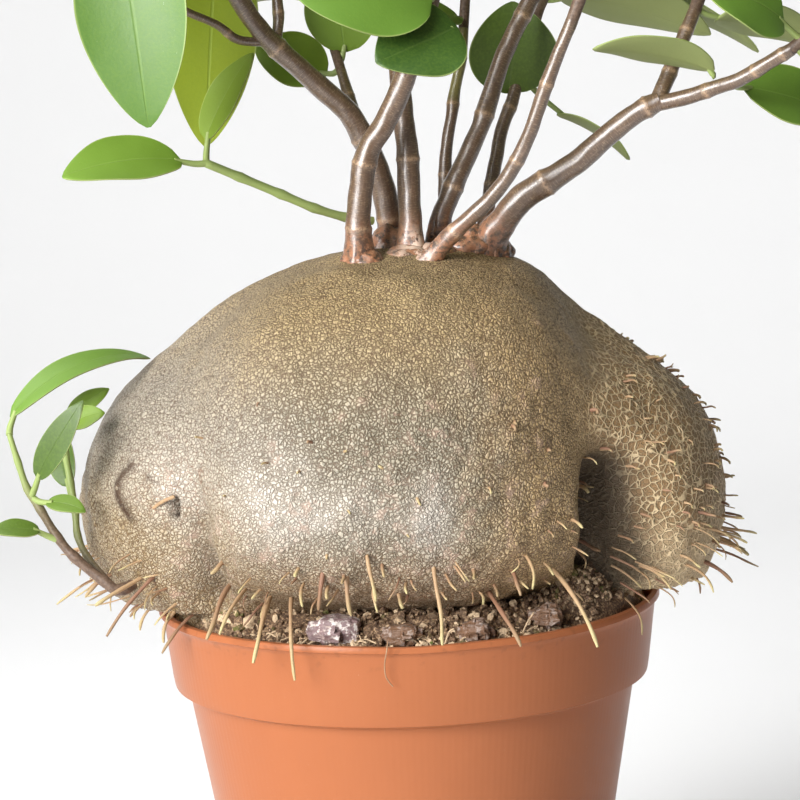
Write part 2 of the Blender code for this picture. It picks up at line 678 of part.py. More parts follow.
def leaf_shape(base, direction, normal, length, width, curl, thick, petiole_from=None):
    """Points and triangles of one thin arched leaf; a stalk leads in from petiole_from."""
    direction = Vector(direction).normalized()
    normal = Vector(normal)
    normal = (normal - direction * normal.dot(direction)).normalized()
    side = direction.cross(normal)
    base = Vector(base)
    fold = 0.16
    points = []
    if petiole_from is not None:
        stalk = (base - Vector(petiole_from)).normalized()
        place = Vector(petiole_from) + stalk * STALK_START
        up = (normal - stalk * normal.dot(stalk)).normalized() * STALK_RADIUS
        across = stalk.cross(up)
        points += [place - across, place + up, place + across, place - up]
    for along, breadth in ((0.0, 0.07), (0.30, 0.94), (0.68, 0.84)):
        turn = curl * along
        arc = length / curl
        place = base + direction * math.sin(turn) * arc - normal * (1 - math.cos(turn)) * arc
        up = normal * math.cos(turn) + direction * math.sin(turn)
        half = max(width * breadth / 2, 0.7)
        edge = up * fold * half
        points += [place - side * half + edge, place + up * thick / 2,
                   place + side * half + edge, place - up * thick / 2]
    turn = curl
    points.append(base + direction * math.sin(turn) * arc - normal * (1 - math.cos(turn)) * arc)
    rings = (len(points) - 1) // 4
    faces = [(0, 1, 2), (0, 2, 3)]
    for ring in range(rings - 1):
        near, far = ring * 4, ring * 4 + 4
        for first, second in ((0, 1), (2, 1), (0, 3), (2, 3)):
            faces.append((near + first, near + second, far + first))
            faces.append((near + second, far + second, far + first))
    last, tip = (rings - 1) * 4, len(points) - 1
    for first, second in ((0, 1), (1, 2), (2, 3), (3, 0)):
        faces.append((last + first, last + second, tip))
    return points, faces


def placed_leaf(base, tip, width, facing, curl=0.5):
    """Direction, normal and length of a leaf whose base and tip are known."""
    chord = Vector(tip) - Vector(base)
    normal = Vector(facing)
    normal = (normal - chord.normalized() * normal.dot(chord.normalized())).normalized()
    direction = chord.normalized() * math.cos(curl / 2) + normal * math.sin(curl / 2)
    length = chord.length * (curl / 2) / math.sin(curl / 2)
    return dict(base=base, direction=direction, normal=normal, length=length, width=width, curl=curl)


def tree_of(points, faces):
    return BVHTree.FromPolygons([tuple(point) for point in points], faces)


def tree_of_object(item):
    graph = bpy.context.evaluated_depsgraph_get()
    mesh = bpy.data.meshes.new_from_object(item.evaluated_get(graph))
    tree = BVHTree.FromPolygons([tuple(vertex.co / MM) for vertex in mesh.vertices],
                                [tuple(face.vertices) for face in mesh.polygons])
    bpy.data.meshes.remove(mesh)
    return tree


def leaf_is_clear(leaf, obstacles, own=None):
    """True if the leaf, made a little larger all round, touches no obstacle but its own stem."""
    larger = dict(leaf)
    larger["width"] = leaf["width"] + 2 * CLEARANCE
    larger["length"] = leaf["length"] + CLEARANCE
    points, faces = leaf_shape(thick=LEAF_THICKNESS + 2 * CLEARANCE, **larger)
    tree = tree_of(points, faces)
    return not any(tree.overlap(other) for other in obstacles if other is not own)


def shoot_path(start, tangent, tip, pairs):
    """A gently bent centre line from the end of the wood to the shoot's tip."""
    start, tip = Vector(start), Vector(tip)
    first = start + tangent * (GAP + 0.05)
    bend = first + tangent * (tip - first).length * 0.45
    steps = pairs + 2
    path = []
    for step in range(steps):
        t = step / (steps - 1)
        path.append(first * (1 - t) ** 2 + bend * 2 * t * (1 - t) + tip * t ** 2)
    return path


def stalk_foot(lines, leaf):
    """The point of the centre lines that a leaf's stalk leaves from, a little inside both ends."""
    behind = Vector(leaf["base"]) - leaf["direction"] * 6.0
    nearest = []
    for line in lines:
        for a, b in zip(line[:-1], line[1:]):
            span = b - a
            t = (behind - a).dot(span) / span.length_squared
            inset = min(0.4, 1.2 / span.length)
            nearest.append(a + span * min(1.0 - inset, max(inset, t)))
    return min(nearest, key=lambda point: (point - behind).length)


def drawn_leaf(draw, stem_point, tangent, outward, share, attempt):
    """A leaf of the opposite pairs: up and out near the tip, more level further down."""
    scale = 1.0 - 0.035 * attempt
    length = draw.uniform(*LEAF_LENGTH) * scale * (1.0 - 0.35 * share ** 3)
    lift = 0.25 + 0.9 * share + draw.uniform(-0.35, 0.35)
    turn = draw.uniform(-0.12, 0.12) * (1 + attempt)
    spread = outward * math.cos(turn) + tangent.cross(outward) * math.sin(turn)
    direction = (spread + Vector((0, 0, 1)) * lift * 0.5 + tangent * 0.3).normalized()
    normal = Vector((0, 0, 1)) + tangent * 0.5 - spread * 0.3
    return dict(base=stem_point + direction * (PETIOLE + SHOOT_RADIUS), direction=direction,
                normal=normal, length=length, width=length * LEAF_WIDTH_RATIO * draw.uniform(0.9, 1.1),
                curl=draw.uniform(0.35, 0.9))


def shoot_leaves(key, path, obstacles):
    """Opposite leaves of one shoot with the point of the stem each stalk leaves from."""
    leaves = []
    outward = Vector((1, 0, 0)).cross((path[-1] - path[0]).normalized()).normalized()
    for index in range(1, len(path)):
        tangent = (path[index] - path[index - 1]).normalized()
        outward = (outward - tangent * outward.dot(tangent)).normalized()
        outward = tangent.cross(outward)
        share = index / (len(path) - 1)
        stem_point = path[index] if index < len(path) - 1 else path[index] - tangent * 1.5
        for sign in (1, -1):
            draw = random.Random("leaf %s %d %d" % (key, index, sign))
            for attempt in range(TRIES):
                leaf = drawn_leaf(draw, stem_point, tangent, outward * sign, share, attempt)
                if leaf_is_clear(leaf, obstacles):
                    leaves.append((leaf, stem_point))
                    obstacles.append(tree_of(*leaf_shape(thick=LEAF_THICKNESS + 0.6, **leaf)))
                    break
    return leaves


def join_leaves(stem, leaves):
    pieces = []
    for leaf, stem_point in leaves:
        points, faces = leaf_shape(thick=LEAF_THICKNESS, petiole_from=stem_point, **leaf)
        pieces.append(make_object("leaf", points, faces))
    union_all(stem, pieces)


def wood_end(key):
    """End point and direction of the stem or fork that carries a shoot."""
    path = WOODY_STEMS[int(key)][0] if key.isdigit() else WOODY_FORKS[key][1]
    tangent = (Vector(path[-1]) - Vector(path[-2])).normalized()
    return Vector(path[-1]), tangent


def make_shoots(material, wood, tuber):
    """The leafy crown: every centre line first, then the leaves that keep clear of all."""
    obstacles = [tree_of_object(item) for item in wood] + [tree_of_object(tuber)]
    stems = {}
    for key, (tip, pairs) in SHOOTS.items():
        start, tangent = wood_end(key)
        path = shoot_path(start, tangent, tip, pairs)
        radii = [SHOOT_RADIUS + (SHOOT_TIP_RADIUS - SHOOT_RADIUS) * i / (len(path) - 1)
                 for i in range(len(path))]
        if key in THIN_SHOOTS:
            radii = [radius * 0.75 for radius in radii]
        stems[key] = (make_tube("leafy_shoot_" + key, path, radii, SHOOT_SIDES, material), path)
    low_path = [Vector(point) for point in LOW_SHOOT]
    low = make_tube("leafy_shoot_low", low_path, [LOW_SHOOT_RADIUS] * len(low_path), SHOOT_SIDES, material)
    stems["low"] = (low, low_path)
    basal_path = [Vector(point) for point in BASAL_SHOOT]
    basal_radii = [BASAL_RADIUS * (1 - 0.6 * i / len(basal_path)) for i in range(len(basal_path))]
    basal = make_tube("basal_shoot", basal_path, basal_radii, SHOOT_SIDES, material)
    twig_path = [Vector(point) for point in BASAL_TWIG]
    twig = make_tube("twig", twig_path, [TWIG_RADIUS] * len(twig_path), SHOOT_SIDES)
    union_all(basal, [twig])
    stems["basal"] = (basal, basal_path)
    own = {key: tree_of_object(item) for key, (item, _) in stems.items()}
    obstacles += own.values()
    fixed = dict(PLACED_LEAVES, low=LOW_SHOOT_LEAVES, basal=BASAL_LEAVES)
    leaves = {}
    for key in fixed:
        lines = [stems[key][1]] + ([twig_path] if key == "basal" else [])
        leaves[key] = []
        for base, tip, width, facing, *curl in fixed[key]:
            leaf = placed_leaf(base, tip, width, facing, *curl)
            if leaf_is_clear(leaf, obstacles, own[key]):
                leaves[key].append((leaf, stalk_foot(lines, leaf)))
                obstacles.append(tree_of(*leaf_shape(thick=LEAF_THICKNESS + 0.6, **leaf)))
    for number, (foot, base, tip, width, facing) in enumerate(WOOD_LEAVES):
        leaf = placed_leaf(base, tip, width, facing)
        points, faces = leaf_shape(thick=LEAF_THICKNESS, petiole_from=foot, **leaf)
        make_object("wood_leaf_%d" % (number + 1), points, faces, material, 60.0)
        obstacles.append(tree_of(*leaf_shape(thick=LEAF_THICKNESS + 0.6, petiole_from=foot, **leaf)))
    for key in SHOOTS:
        leaves.setdefault(key, []).extend(shoot_leaves(key, stems[key][1], obstacles))
    for key, (item, _) in stems.items():
        join_leaves(item, leaves[key])
    return stems


def build():
    clear_scene()
    plastic = make_material("terracotta_plastic", POT_COLOUR, 0.35)
    soil_matter = make_material("soil", SOIL_COLOUR, 0.95)
    chip_matter = make_material("bark_chip", CHIP_COLOUR, 0.7)
    skin = make_material("caudex_skin", TUBER_COLOUR, 0.75)
    bark = make_material("bark", BARK_COLOUR, 0.6)
    leaf_green = make_material("leaf_green", LEAF_COLOUR, 0.4)
    make_pot(plastic)
    clearance = make_tuber_clearance()
    tuber = make_tuber(skin)
    soil = make_soil(soil_matter, clearance)
    make_chips(chip_matter, clearance, soil)
    stems = make_woody_stems(bark, clearance)
    shoots = make_shoots(leaf_green, stems.values(), tuber)
    cut_by(shoots["basal"][0], clearance)


build()
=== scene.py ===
"""A potted ant plant in a plastic nursery pot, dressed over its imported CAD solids.

Each piece repeats the named shapes of its CAD solid at a fine scale: the tuber's lobes, its
roots, the woody stems and the leafy shoots. Shapes are worked out in millimetres, with the
front at -Y, and turned into metres when a mesh is made.
"""

import itertools
import math
import random

import bpy
import numpy as np
from mathutils import Matrix, Vector
from mathutils.bvhtree import BVHTree


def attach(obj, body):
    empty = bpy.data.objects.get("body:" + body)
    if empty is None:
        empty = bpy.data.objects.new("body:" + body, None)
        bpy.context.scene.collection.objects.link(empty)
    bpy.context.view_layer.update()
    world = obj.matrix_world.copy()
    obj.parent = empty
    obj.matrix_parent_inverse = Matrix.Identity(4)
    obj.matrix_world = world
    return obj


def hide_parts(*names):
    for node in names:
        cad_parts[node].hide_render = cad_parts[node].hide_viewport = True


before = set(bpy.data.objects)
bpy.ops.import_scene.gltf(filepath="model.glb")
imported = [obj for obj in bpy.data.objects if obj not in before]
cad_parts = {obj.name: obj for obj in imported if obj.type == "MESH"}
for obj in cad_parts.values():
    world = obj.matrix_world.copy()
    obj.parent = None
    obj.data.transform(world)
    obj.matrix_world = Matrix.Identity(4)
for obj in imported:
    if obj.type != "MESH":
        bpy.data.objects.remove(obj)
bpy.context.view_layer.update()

MM = 0.001
GAP = 0.3

# Pot
RIM_RADIUS = 65.0
POT_HEIGHT = 115.0
BAND_HEIGHT = 21.0
BAND_FOOT_RADIUS = 61.6
BODY_TOP_RADIUS = 58.2
BASE_RADIUS = 42.0
WALL = 1.4
FLOOR = 1.8
LIP = 2.2
POT_SIDES = 192
DRAIN_HOLES = 6
DRAIN_HOLE_RADIUS = 4.0
DRAIN_HOLE_CIRCLE = 29.0
# The rim's slight dent at the front, above this level, and its waves all round
DENT_LEVEL = 98.0
DENT_ANGLE = 0.16
DENT_SHARE = 0.006
DENT_DROP = 0.45
RIM_WAVE_SHARE = 0.0018

# Soil
SOIL_LEVEL = 111.5
SOIL_ROUGHNESS = 1.3
SOIL_FRONT_RISE = 1.2
# Waves of the soil's top: size, seed and height
SOIL_WAVES = ((9.0, 11, 1.0), (3.5, 12, 0.8), (1.4, 13, 0.35))
CRUMBS = 3400
CRUMB_SEED = 61
CRUMB_SIZE = (0.28, 0.7)
CRUMB_LIMIT = 2.4
GOLDEN_RATIO = (1 + 5 ** 0.5) / 2
SOIL_FIBRES = 800
FIBRE_LENGTH = (3.0, 8.0)
FIBRE_RADIUS = (0.12, 0.25)
HEAP_RADIUS = 61.0
HEAP_WIDTH = 12.0
HEAP_HEIGHT = 7.5
# Mounds of soil against the tuber: middle, spread and height
SOIL_MOUNDS = (
    ((53, -28), (11, 14), 5.5),
    ((-46, -36), (10, 10), 2.5),
)
# Banks of crumbs heaped into the hollows of the tuber: middle, spread and height
SOIL_BANKS = (
    ((46, -37), (10, 8), 11.0),
    ((-47, -36), (9, 7), 4.0),
)
BANK_CRUMBS = 700
SOIL_CHIPS = (
    ((-17.5, -53.5, 117.2), (6.6, 4.6, 4.4)),
    ((-2, -56, 116.0), (4.5, 3.6, 3.2)),
    ((16, -55.5, 116.0), (4.2, 3.4, 3.0)),
    ((34, -46, 117.0), (4.6, 4.0, 3.0)),
)

# Tuber: each lobe has a centre, three half-axes and a fullness, 2 for an ellipsoid
TUBER_CENTRE = np.array([0.0, 0.0, 146.0])
LOBES = {
    "front": ((-2, -16, 160), (52, 50, 44), 2.3),
    "front_low": ((-2, -22, 146.5), (51, 42, 28), 2.6),
    "left_bridge": ((-34, -14, 156), (32, 36, 28), 2.0),
    "right_bridge": ((34, -12, 156), (32, 34, 27), 2.0),
    "left": ((-44, -3, 143), (38, 42, 37), 2.2),
    "right": ((45, 0, 141), (37, 41, 36), 2.2),
    "left_shoulder": ((-20, -2, 140), (62, 42, 61), 1.6),
    "right_shoulder": ((18, 0, 140), (62, 42, 59), 1.6),
    "back_left": ((-18, 30, 146), (46, 40, 42), 2.3),
    "back_right": ((24, 26, 144), (44, 40, 42), 2.3),
    "crown": ((6, -7, 189), (34, 27, 16.5), 2.2),
    "foot": ((0, 4, 110), (44, 38, 40), 2.2),
}
LOBE_BLEND = 1.5
# The surface is looked for from this radius inwards, in so many steps
FAR_OUTSIDE = 130.0
INWARD_STEPS = 60
# Creases between lobes: points along the bottom of each, width and depth
CREASES = (
    (((-50, -46, 158), (-49, -47, 150), (-48.5, -46, 139), (-49, -41, 126)), 4.2, 5.0),
    (((48.5, -42, 152), (48, -43, 145), (48, -41, 134), (48, -36, 122)), 4.5, 6.0),
    (((53, -42, 147), (54, -41, 134), (57, -36, 120)), 6.5, 8.0),
    (((2, 62, 170), (4, 60, 124)), 6.0, 5.0),
)
COARSE_DIVISIONS = 16
SKIN_DIVISIONS = 126
NECK_RADIUS = 60.5
NECK_LEVEL = 118.5
WART_COUNT = 70
WART_SEED = 5
SMALL_WART_TRIES = 9000
NET_CELL = 10.0
NET_HEIGHT = 1.3
NET_SEED = 8
# Creases as the skin shows them: a soft left fold in four short parts, and a deeper hollow on the right
SKIN_CREASES = (
    (((-51, -46, 158), (-50, -46, 146)), 6.0, 1.0),
    (((-50.5, -46, 148), (-50, -45, 138), (-49, -41, 124)), 5.0, 1.3),
    (((-50, -46, 141), (-49.5, -44, 135), (-49, -41, 124)), 4.2, 1.4),
    (((-49.5, -44, 135), (-49, -41, 122)), 3.6, 1.8),
    CREASES[1],
    (((53, -42, 149), (55, -41, 136), (58, -36, 120)), 8.0, 12.0),
    CREASES[3],
)
SKIN_BLEND = 1.8
# Waves of the skin: size, seed and height
SKIN_WAVES = ((14.0, 1, 0.6), (6.0, 2, 0.30), (2.6, 3, 0.12))
# Entrance holes in the skin: centre and half-axes
ENTRANCE_HOLES = (
    ((-56.8, -43.3, 147.4), (1.15, 3.4, 2.7)),
    ((34, 12, 198), (4.5, 4.0, 3.5)),
)
HOLE_DEPTH = 5.5
HOLE_RIM_HEIGHT = 0.5
# Patches of pale bloom and painted sheen: centre, spread and strength
BLOOMS_AND_SHEEN = (
    ((-31, -58, 151), (11, 12, 12), 0.62),
    ((6, -66, 146), (5, 10, 10), 0.55),
    ((-12, -63, 148), (13, 10, 9), 0.35),
    ((-57, -42, 152), (9, 12, 9), 0.35),
    ((-50, -40, 134), (9, 12, 8), 0.25),
)
# Bands of small warts: middle in x and z, spread in x and z, and density
WART_BANDS = (
    (-14, 145, 26, 11, 0.55),
    (16, 150, 16, 22, 0.45),
    (-46, 132, 14, 12, 0.35),
    (10, 130, 44, 8, 0.3),
)
# Low bulges of the front lobe: centre, spread and height
BULGES = (
    ((-41, -52, 145), (8, 12, 15), 2.2),
    ((-32, -56, 145), (8, 10, 8), 1.8),
    ((-14, -61, 146), (6, 10, 9), 1.4),
    ((3, -62, 148), (5, 10, 12), 1.3),
    ((17, -60, 150), (6, 10, 13), 1.1),
)
# Peeling scars on the left lobe: points along each and its width
SCARS = (
    (((-67.2, -35, 156.6), (-69.4, -33.9, 154.5), (-70.8, -33.4, 152), (-70.1, -34.8, 149.2),
      (-68.6, -36.5, 146.9), (-67.4, -37.7, 144.5)), 1.3),
    (((-62.5, -39.3, 154.4), (-60, -40.6, 152.8), (-57, -42.3, 152.2), (-54, -43.8, 153.6)), 0.6),
)
SCAR_HEIGHT = 0.7
# Pale patch of painted sheen on the left lobe: centre and spread
PALE_SHEEN_PATCH = ((-55, -44, 152), (12, 16, 10))

# Roots: base, bend and tip of those that hang over the front of the rim and beside it
PLACED_ROOTS = (
    ((-31, -50, 124), (-29, -63, 121), (-28, -66, 108)),
    ((-36, -46, 124), (-36, -60, 121), (-38, -63, 112)),
    ((6, -60, 136), (7, -68, 127), (8, -71, 116)),
    ((20, -52, 124), (23, -66, 122), (26, -70, 115)),
    ((36, -50, 130), (41, -61, 124), (45, -65, 113)),
    ((-45, -40, 127), (-47, -55, 124), (-49, -60, 117)),
    ((-40, -44, 127), (-43, -57, 125), (-46, -61, 119)),
    ((-19, -58, 137), (-21, -63, 130), (-22, -61, 124)),
    ((-14, -60, 137), (-15, -65, 129), (-14, -64, 123)),
    ((-10, -62, 141), (-9, -68, 134), (-8, -67, 127)),
    ((-60, -36, 131), (-67, -41, 126), (-75, -45, 116)),
    ((-65, -34, 129), (-72, -39, 126), (-78, -42, 123)),
)
# Thin roots that lie on the pot and across an entrance hole: points, radius and age
HAIR_ROOTS = (
    (((-5.5, -64.2, 116.2), (-5.7, -65.6, 114.6), (-6.4, -65.3, 111), (-6.2, -64.9, 107.6),
      (-4.6, -64.7, 105.2)), 0.16, 0.55),
    (((-62.4, -40.6, 146.6), (-60.5, -42.9, 148.2), (-58.6, -44.4, 149.4), (-56.4, -45.2, 150.3)),
     0.42, 0.35),
)
ROOT_RADIUS = 0.75
ROOT_DEPTH = 2.5
# Kinds of drawn roots: how many, then the limits of their angle, rise and length
DRAWN_ROOTS = (
    (56, (0, 2 * math.pi), (-0.46, -0.16), (7.0, 16.0)),
    (24, (-1.2, 0.9), (-0.1, 0.55), (4.0, 8.0)),
)
ROOT_SEED = 21
ROOT_TO_SHOOT = 6.5
ROOT_TO_CHIP = 1.0
SMALL_ROOTS = 420
SMALL_ROOT_DEPTH = 1.5
SMALL_ROOT_SEED = 77

# Woody stems: centre line from inside the crown up, with radii at both ends
WOODY_STEMS = {
    1: [((-8, -22, 186), (-9, -22, 206), (-9, -22, 213), (-8, -22, 222), (-6, -22, 231),
         (-1, -22, 239), (3, -23, 247), (7, -24, 257), (10, -24, 265)), 3.9, 2.9],
    2: [((-1, -4, 186), (-1, -4, 207), (-2, -5, 218), (-4, -6, 226), (-7, -8, 234),
         (-11, -10, 241), (-17, -12, 247), (-23, -14, 253), (-29, -16, 259),
         (-34, -18, 266), (-38, -20, 273)), 3.7, 2.6],
    3: [((4, -13, 186), (4, -13, 205), (4, -12, 218), (4, -11, 231), (3, -10, 242),
         (3, -8, 253), (5, -5, 263), (7, 0, 273)), 3.6, 2.6],
    4: [((11, -2, 186), (11, -2, 208), (15, 0, 219), (19, 2, 227), (23, 4, 235),
         (26, 6, 243), (29, 8, 251), (33, 10, 259), (37, 12, 266)), 3.1, 2.4],
    5: [((3, -21, 190), (8, -23, 203), (15, -26, 211), (24, -28, 219), (30, -30, 227),
         (34, -32, 235), (37, -33, 243), (41, -34, 253), (45, -35, 262)), 2.8, 2.0],
    6: [((18, -7, 188), (22, -8, 203), (27, -10, 211), (32, -12, 217), (38, -14, 221),
         (46, -16, 226), (53, -18, 232), (61, -20, 238), (67, -21, 241)), 4.8, 2.7],
    7: [((13, 14, 186), (13, 14, 206), (14, 18, 226), (16, 20, 237), (17, 22, 243),
         (19, 24, 251), (20, 26, 259)), 1.9, 1.4],
    8: [((23, 9, 186), (23, 10, 205), (25, 14, 216), (27, 17, 225), (29, 20, 233),
         (32, 23, 240), (34, 26, 246)), 2.2, 1.7],
}
# Forks: stem they leave, centre line, radii at both ends
WOODY_FORKS = {
    "2a": [2, ((-29, -16, 259), (-37, -18, 260), (-42, -21.5, 264), (-48, -25, 267),
               (-54, -27.5, 270.5)), 1.3, 1.0],
    "2b": [2, ((-28, -15.5, 258), (-27, -13, 264), (-27, -12, 270), (-26, -10, 278)), 1.6, 1.3],
    "2c": [2, ((-8, -8, 236), (-10, -2, 243), (-12, 4, 250)), 1.9, 1.4],
    "6a": [6, ((66, -21, 240), (69, -18, 246), (73, -14, 254), (77, -10, 262)), 2.4, 1.9],
    "6b": [6, ((65, -20.5, 240), (74, -24, 242), (80, -27, 244), (86, -30, 246),
               (93, -33, 250), (98, -35, 253)), 2.3, 1.8],
}
# Heights of the ring-like nodes on each stem or fork
STEM_NODES = {
    1: (212, 228), 2: (213, 234, 257.5), 3: (228, 252), 4: (220, 238, 262), 5: (211, 228, 247),
    6: (221.5, 239.5), 7: (222, 240, 252), 8: (219, 238),
    "2a": (262, 268), "2b": (266, 275), "2c": (244,), "6a": (248, 258), "6b": (243.5, 248, 252),
}
# Height from which a stem's bark is still green
GREEN_FROM = {7: 240.0}
# Woody lumps between the feet of the stems: stem they belong to, centre and half-axes
CROWN_LUMPS = {
    1: (((-8, -22, 203.5), (5.5, 5.0, 4.0)),),
    2: (((-2, -8, 204), (5.5, 6.0, 8.0)),),
    3: (((3, -17, 203), (6.5, 5.5, 4.0)), ((10, -14, 203), (5.0, 6.0, 4.5))),
    6: (((19, -8, 204), (7.0, 6.5, 7.0)), ((25, -6, 203), (5.0, 6.0, 5.0))),
}
# Where the bark has peeled: centre and spread
PEELED_BARK = (np.array([5.0, -19.5, 205.5]), np.array([4.5, 6.0, 5.0]))
# Share of the CAD radius that a stem shows between its nodes
STEM_FIT = {1: 0.86, 2: 0.92, 3: 0.90, 4: 0.90, 5: 0.78, 6: 0.88, 7: 1.0, 8: 0.95}
# Swelling and sharp ring at each node: share of the radius and width
NODE_SWELLING = (0.05, 2.4)
NODE_RING = (0.06, 0.6)
STEM_FOOT_LEVEL = 203.0
STEM_FOOT_HEIGHT = 13.0
STEM_STEP = 0.7
STEM_SIDES = 22
LUMP_DIVISIONS = 14

# Leafy shoots: where the shoot's own tip comes, and its leaf pairs
SHOOTS = {
    "1": ((24, -30, 352), 3),
    "2": ((-66, -18, 350), 3),
    "2a": ((-92, -54, 322), 2),
    "2b": ((-26, 0, 372), 4),
    "2c": ((-34, 54, 338), 3),
    "3": ((8, 8, 396), 4),
    "4": ((58, 26, 370), 4),
    "5": ((62, -56, 342), 3),
    "6a": ((98, 10, 344), 3),
    "6b": ((138, -50, 312), 2),
    "7": ((22, 66, 356), 3),
    "8": ((70, 64, 330), 3),
}
THIN_SHOOTS = ("2a", "2b", "2c", "7")
THIN_SHARE = 0.75
SHOOT_RADIUS = 1.9
SHOOT_TIP_RADIUS = 0.9
COARSE_SHOOT_SIDES = 6
SHOOT_SIDES = 12
LEAF_LENGTH = (40.0, 58.0)
LEAF_WIDTH_RATIO = 0.56
COARSE_LEAF_THICKNESS = 1.3
LEAF_THICKNESS = 1.0
LEAF_FOLD = 0.16
LEAF_WAVE = 0.03
RIB_DEPTH = 0.16
RIB_WIDTH = 0.8
PETIOLE = 4.0
STALK_RADIUS = 0.8
CLEARANCE = 1.0
LEAF_MARGIN = 0.6
TRIES = 16

# Leaves listed for a shoot: base, tip, width and the way the upper face looks
PLACED_LEAVES = {
    "1": (((11, -35, 268.5), (-22, -48, 271.5), 25, (0.05, -0.9, 0.4)),
          ((17, -32, 261.5), (-3, -46, 254), 22, (0.2, -0.85, 0.5))),
    "2a": (((-63, -46, 292), (-57.5, -54, 241), 28, (-0.2, -1.0, 0.2)),),
    "2b": (((-42, -3, 286), (-47, -7, 233), 24, (0.2, -1.0, 0.1)),),
    "2c": (((-16, 6, 249), (-34, 8, 257), 17, (0.1, -0.8, 0.6)),
           ((-11, 8, 255), (-11, 4, 280), 19, (0.1, -1.0, 0.0))),
    "4": (((45, 13, 267.5), (85, 28, 255), 19, (0.0, 0.6, 0.8)),),
    "6a": (((83, -8, 260.5), (109, 4, 252.5), 17, (0.0, 0.5, 0.85)),),
    "6b": (((96, -38, 260), (75, -50, 269.5), 22, (0.0, -0.8, 0.6)),
           ((104, -36, 249), (127, -46, 238), 20, (0.4, -0.8, 0.6))),
    "7": (((19, 25, 262), (6, 14, 262), 11, (0.0, -0.7, 0.7)),),
    "8": (((31, 25, 242), (33, 21, 266), 24, (0.0, -1.0, 0.1)),
          ((44, 28, 236), (63, 32, 222.7), 13, (0.45, 0.12, 0.9))),
}
# Leaves that grow from the wood of fork 6b: the stalk's start, then base, tip, width and upper face
WOOD_LEAVES = (
    ((79.5, -27.1, 246.9), (80, -27.5, 248.5), (49.7, -36, 255), 15, (0.0, 0.45, 0.9)),
    ((84.9, -26.7, 244.7), (88, -19, 243.5), (113, -10, 235), 19, (0.1, -0.75, 0.65)),
)

LOW_SHOOT = ((-5.5, -6.0, 212.6), (-12, -9.5, 214), (-20, -13, 217), (-28, -16, 221),
             (-38, -20, 226), (-47, -24, 230.5))
LOW_SHOOT_RADIUS = 1.1
LOW_SHOOT_LEAVES = (
    ((-52, -26, 231), (-80.5, -38, 228.8), 18, (0.0, -0.6, 0.8)),
    ((-46, -20, 235.5), (-33.5, -14.5, 256.5), 12, (-0.75, -0.65, 0.0)),
)
BASAL_SHOOT = ((-60, -24, 131), (-71, -34, 125.5), (-76, -34, 128), (-83, -33, 134),
               (-87, -32, 139), (-91, -31, 146), (-94, -30, 151), (-96, -30, 158), (-98, -30, 166))
BASAL_TWIG = ((-74.6, -33.9, 127.4), (-80, -29, 133), (-82.5, -26, 138), (-83, -24, 144),
              (-84, -22, 151), (-85, -21, 158), (-85.5, -21, 164))
BASAL_RADIUS = 1.5
TWIG_RADIUS = 0.85
BASAL_LEAVES = (
    ((-97.5, -28, 169), (-63.6, -6, 179.5), 9, (-0.15, -0.55, 0.8), 1.2),
    ((-91, -33.5, 154), (-78, -39, 174), 8, (-0.4, -1.0, 0.2)),
    ((-89, -33.5, 148), (-79, -38, 146), 6, (0.0, -0.6, 0.8)),
    ((-91, -33.5, 141), (-103, -38, 142), 6.5, (0.0, -0.6, 0.8)),
    ((-83.5, -24.5, 166), (-74, -27, 169), 6.5, (0.0, -0.8, 0.6)),
    ((-84.5, -16.5, 167), (-74, -12, 173), 5.5, (0.0, -0.8, 0.6)),
    ((-85, -17, 149), (-87, -8, 162), 8, (-0.4, -0.8, 0.3)),
)
# Tone of the placed leaves: 0 is deep green and 1 fresh light green, then how yellow each is
LEAF_TONES = {
    "1": ((0.60, 0.05), (0.08, 0.0)),
    "2a": ((0.40, 0.0),),
    "2b": ((0.55, 0.85),),
    "2c": ((0.9, 0.45), (0.7, 0.3)),
    "4": ((1.0, 0.5),),
    "6a": ((0.5, 0.3),),
    "6b": ((0.95, 0.05), (0.08, 0.1)),
    "7": ((0.5, 0.3),),
    "8": ((0.0, 0.15), (0.6, 0.3)),
    "low": ((0.75, 0.2), (0.34, 0.4)),
    "basal": ((0.60, 0.1), (0.02, 0.1), (0.40, 0.2), (0.20, 0.15), (0.45, 0.3), (0.6, 0.3),
              (0.05, 0.1)),
}
WOOD_LEAF_TONES = ((0.70, 0.35), (0.45, 0.1))
LEAF_VALUES = ("across", "under", "tone", "yellow", "stalk", "wood")
STALK_TONE = 0.6
# How woody a shoot is at even steps from its foot to its tip
CROWN_WOODINESS = (1, 1, 0.6, 0.1, 0, 0)
TWIG_WOODINESS = (1, 0.8, 0.2, 0, 0)
WOODINESS = {"basal": (1, 1, 1, 1, 0.9, 0.1, 0), "low": (0.3, 0, 0)}

# Soft lights, in metres: place, target, size, power in watts and spread in degrees
SOFTBOXES = {
    "key_left": ((-0.80, -0.98, 0.64), (0.0, 0.0, 0.22), (0.75, 0.85), 6.7, 72.0),
    "low_left": ((-1.05, -0.55, 0.12), (0.0, 0.0, 0.14), (0.45, 0.35), 0.22, 60.0),
    "wall_wash": ((-0.9, -0.1, 1.15), (-0.35, 1.2, 0.52), (1.2, 0.6), 3.9, 90.0),
    "wall_left": ((-0.85, 0.75, 0.75), (-0.30, 1.2, 0.35), (0.4, 0.4), 0.14, 100.0),
    "wall_right": ((0.95, 0.30, 0.9), (0.45, 1.0, 0.0), (0.8, 0.6), 0.36, 90.0),
    "top_soft": ((-0.35, -0.05, 1.25), (0.0, 0.0, 0.27), (0.9, 0.7), 2.4, 80.0),
}
WORLD_STRENGTH = 0.08
# Paper sweep, in metres
SWEEP_FRONT = -1.6
SWEEP_CURVE_START = 0.7
SWEEP_CURVE_RADIUS = 0.5
SWEEP_CURVE_STEPS = 12
SWEEP_HALF_WIDTH = 2.2
SWEEP_HEIGHT = 2.4
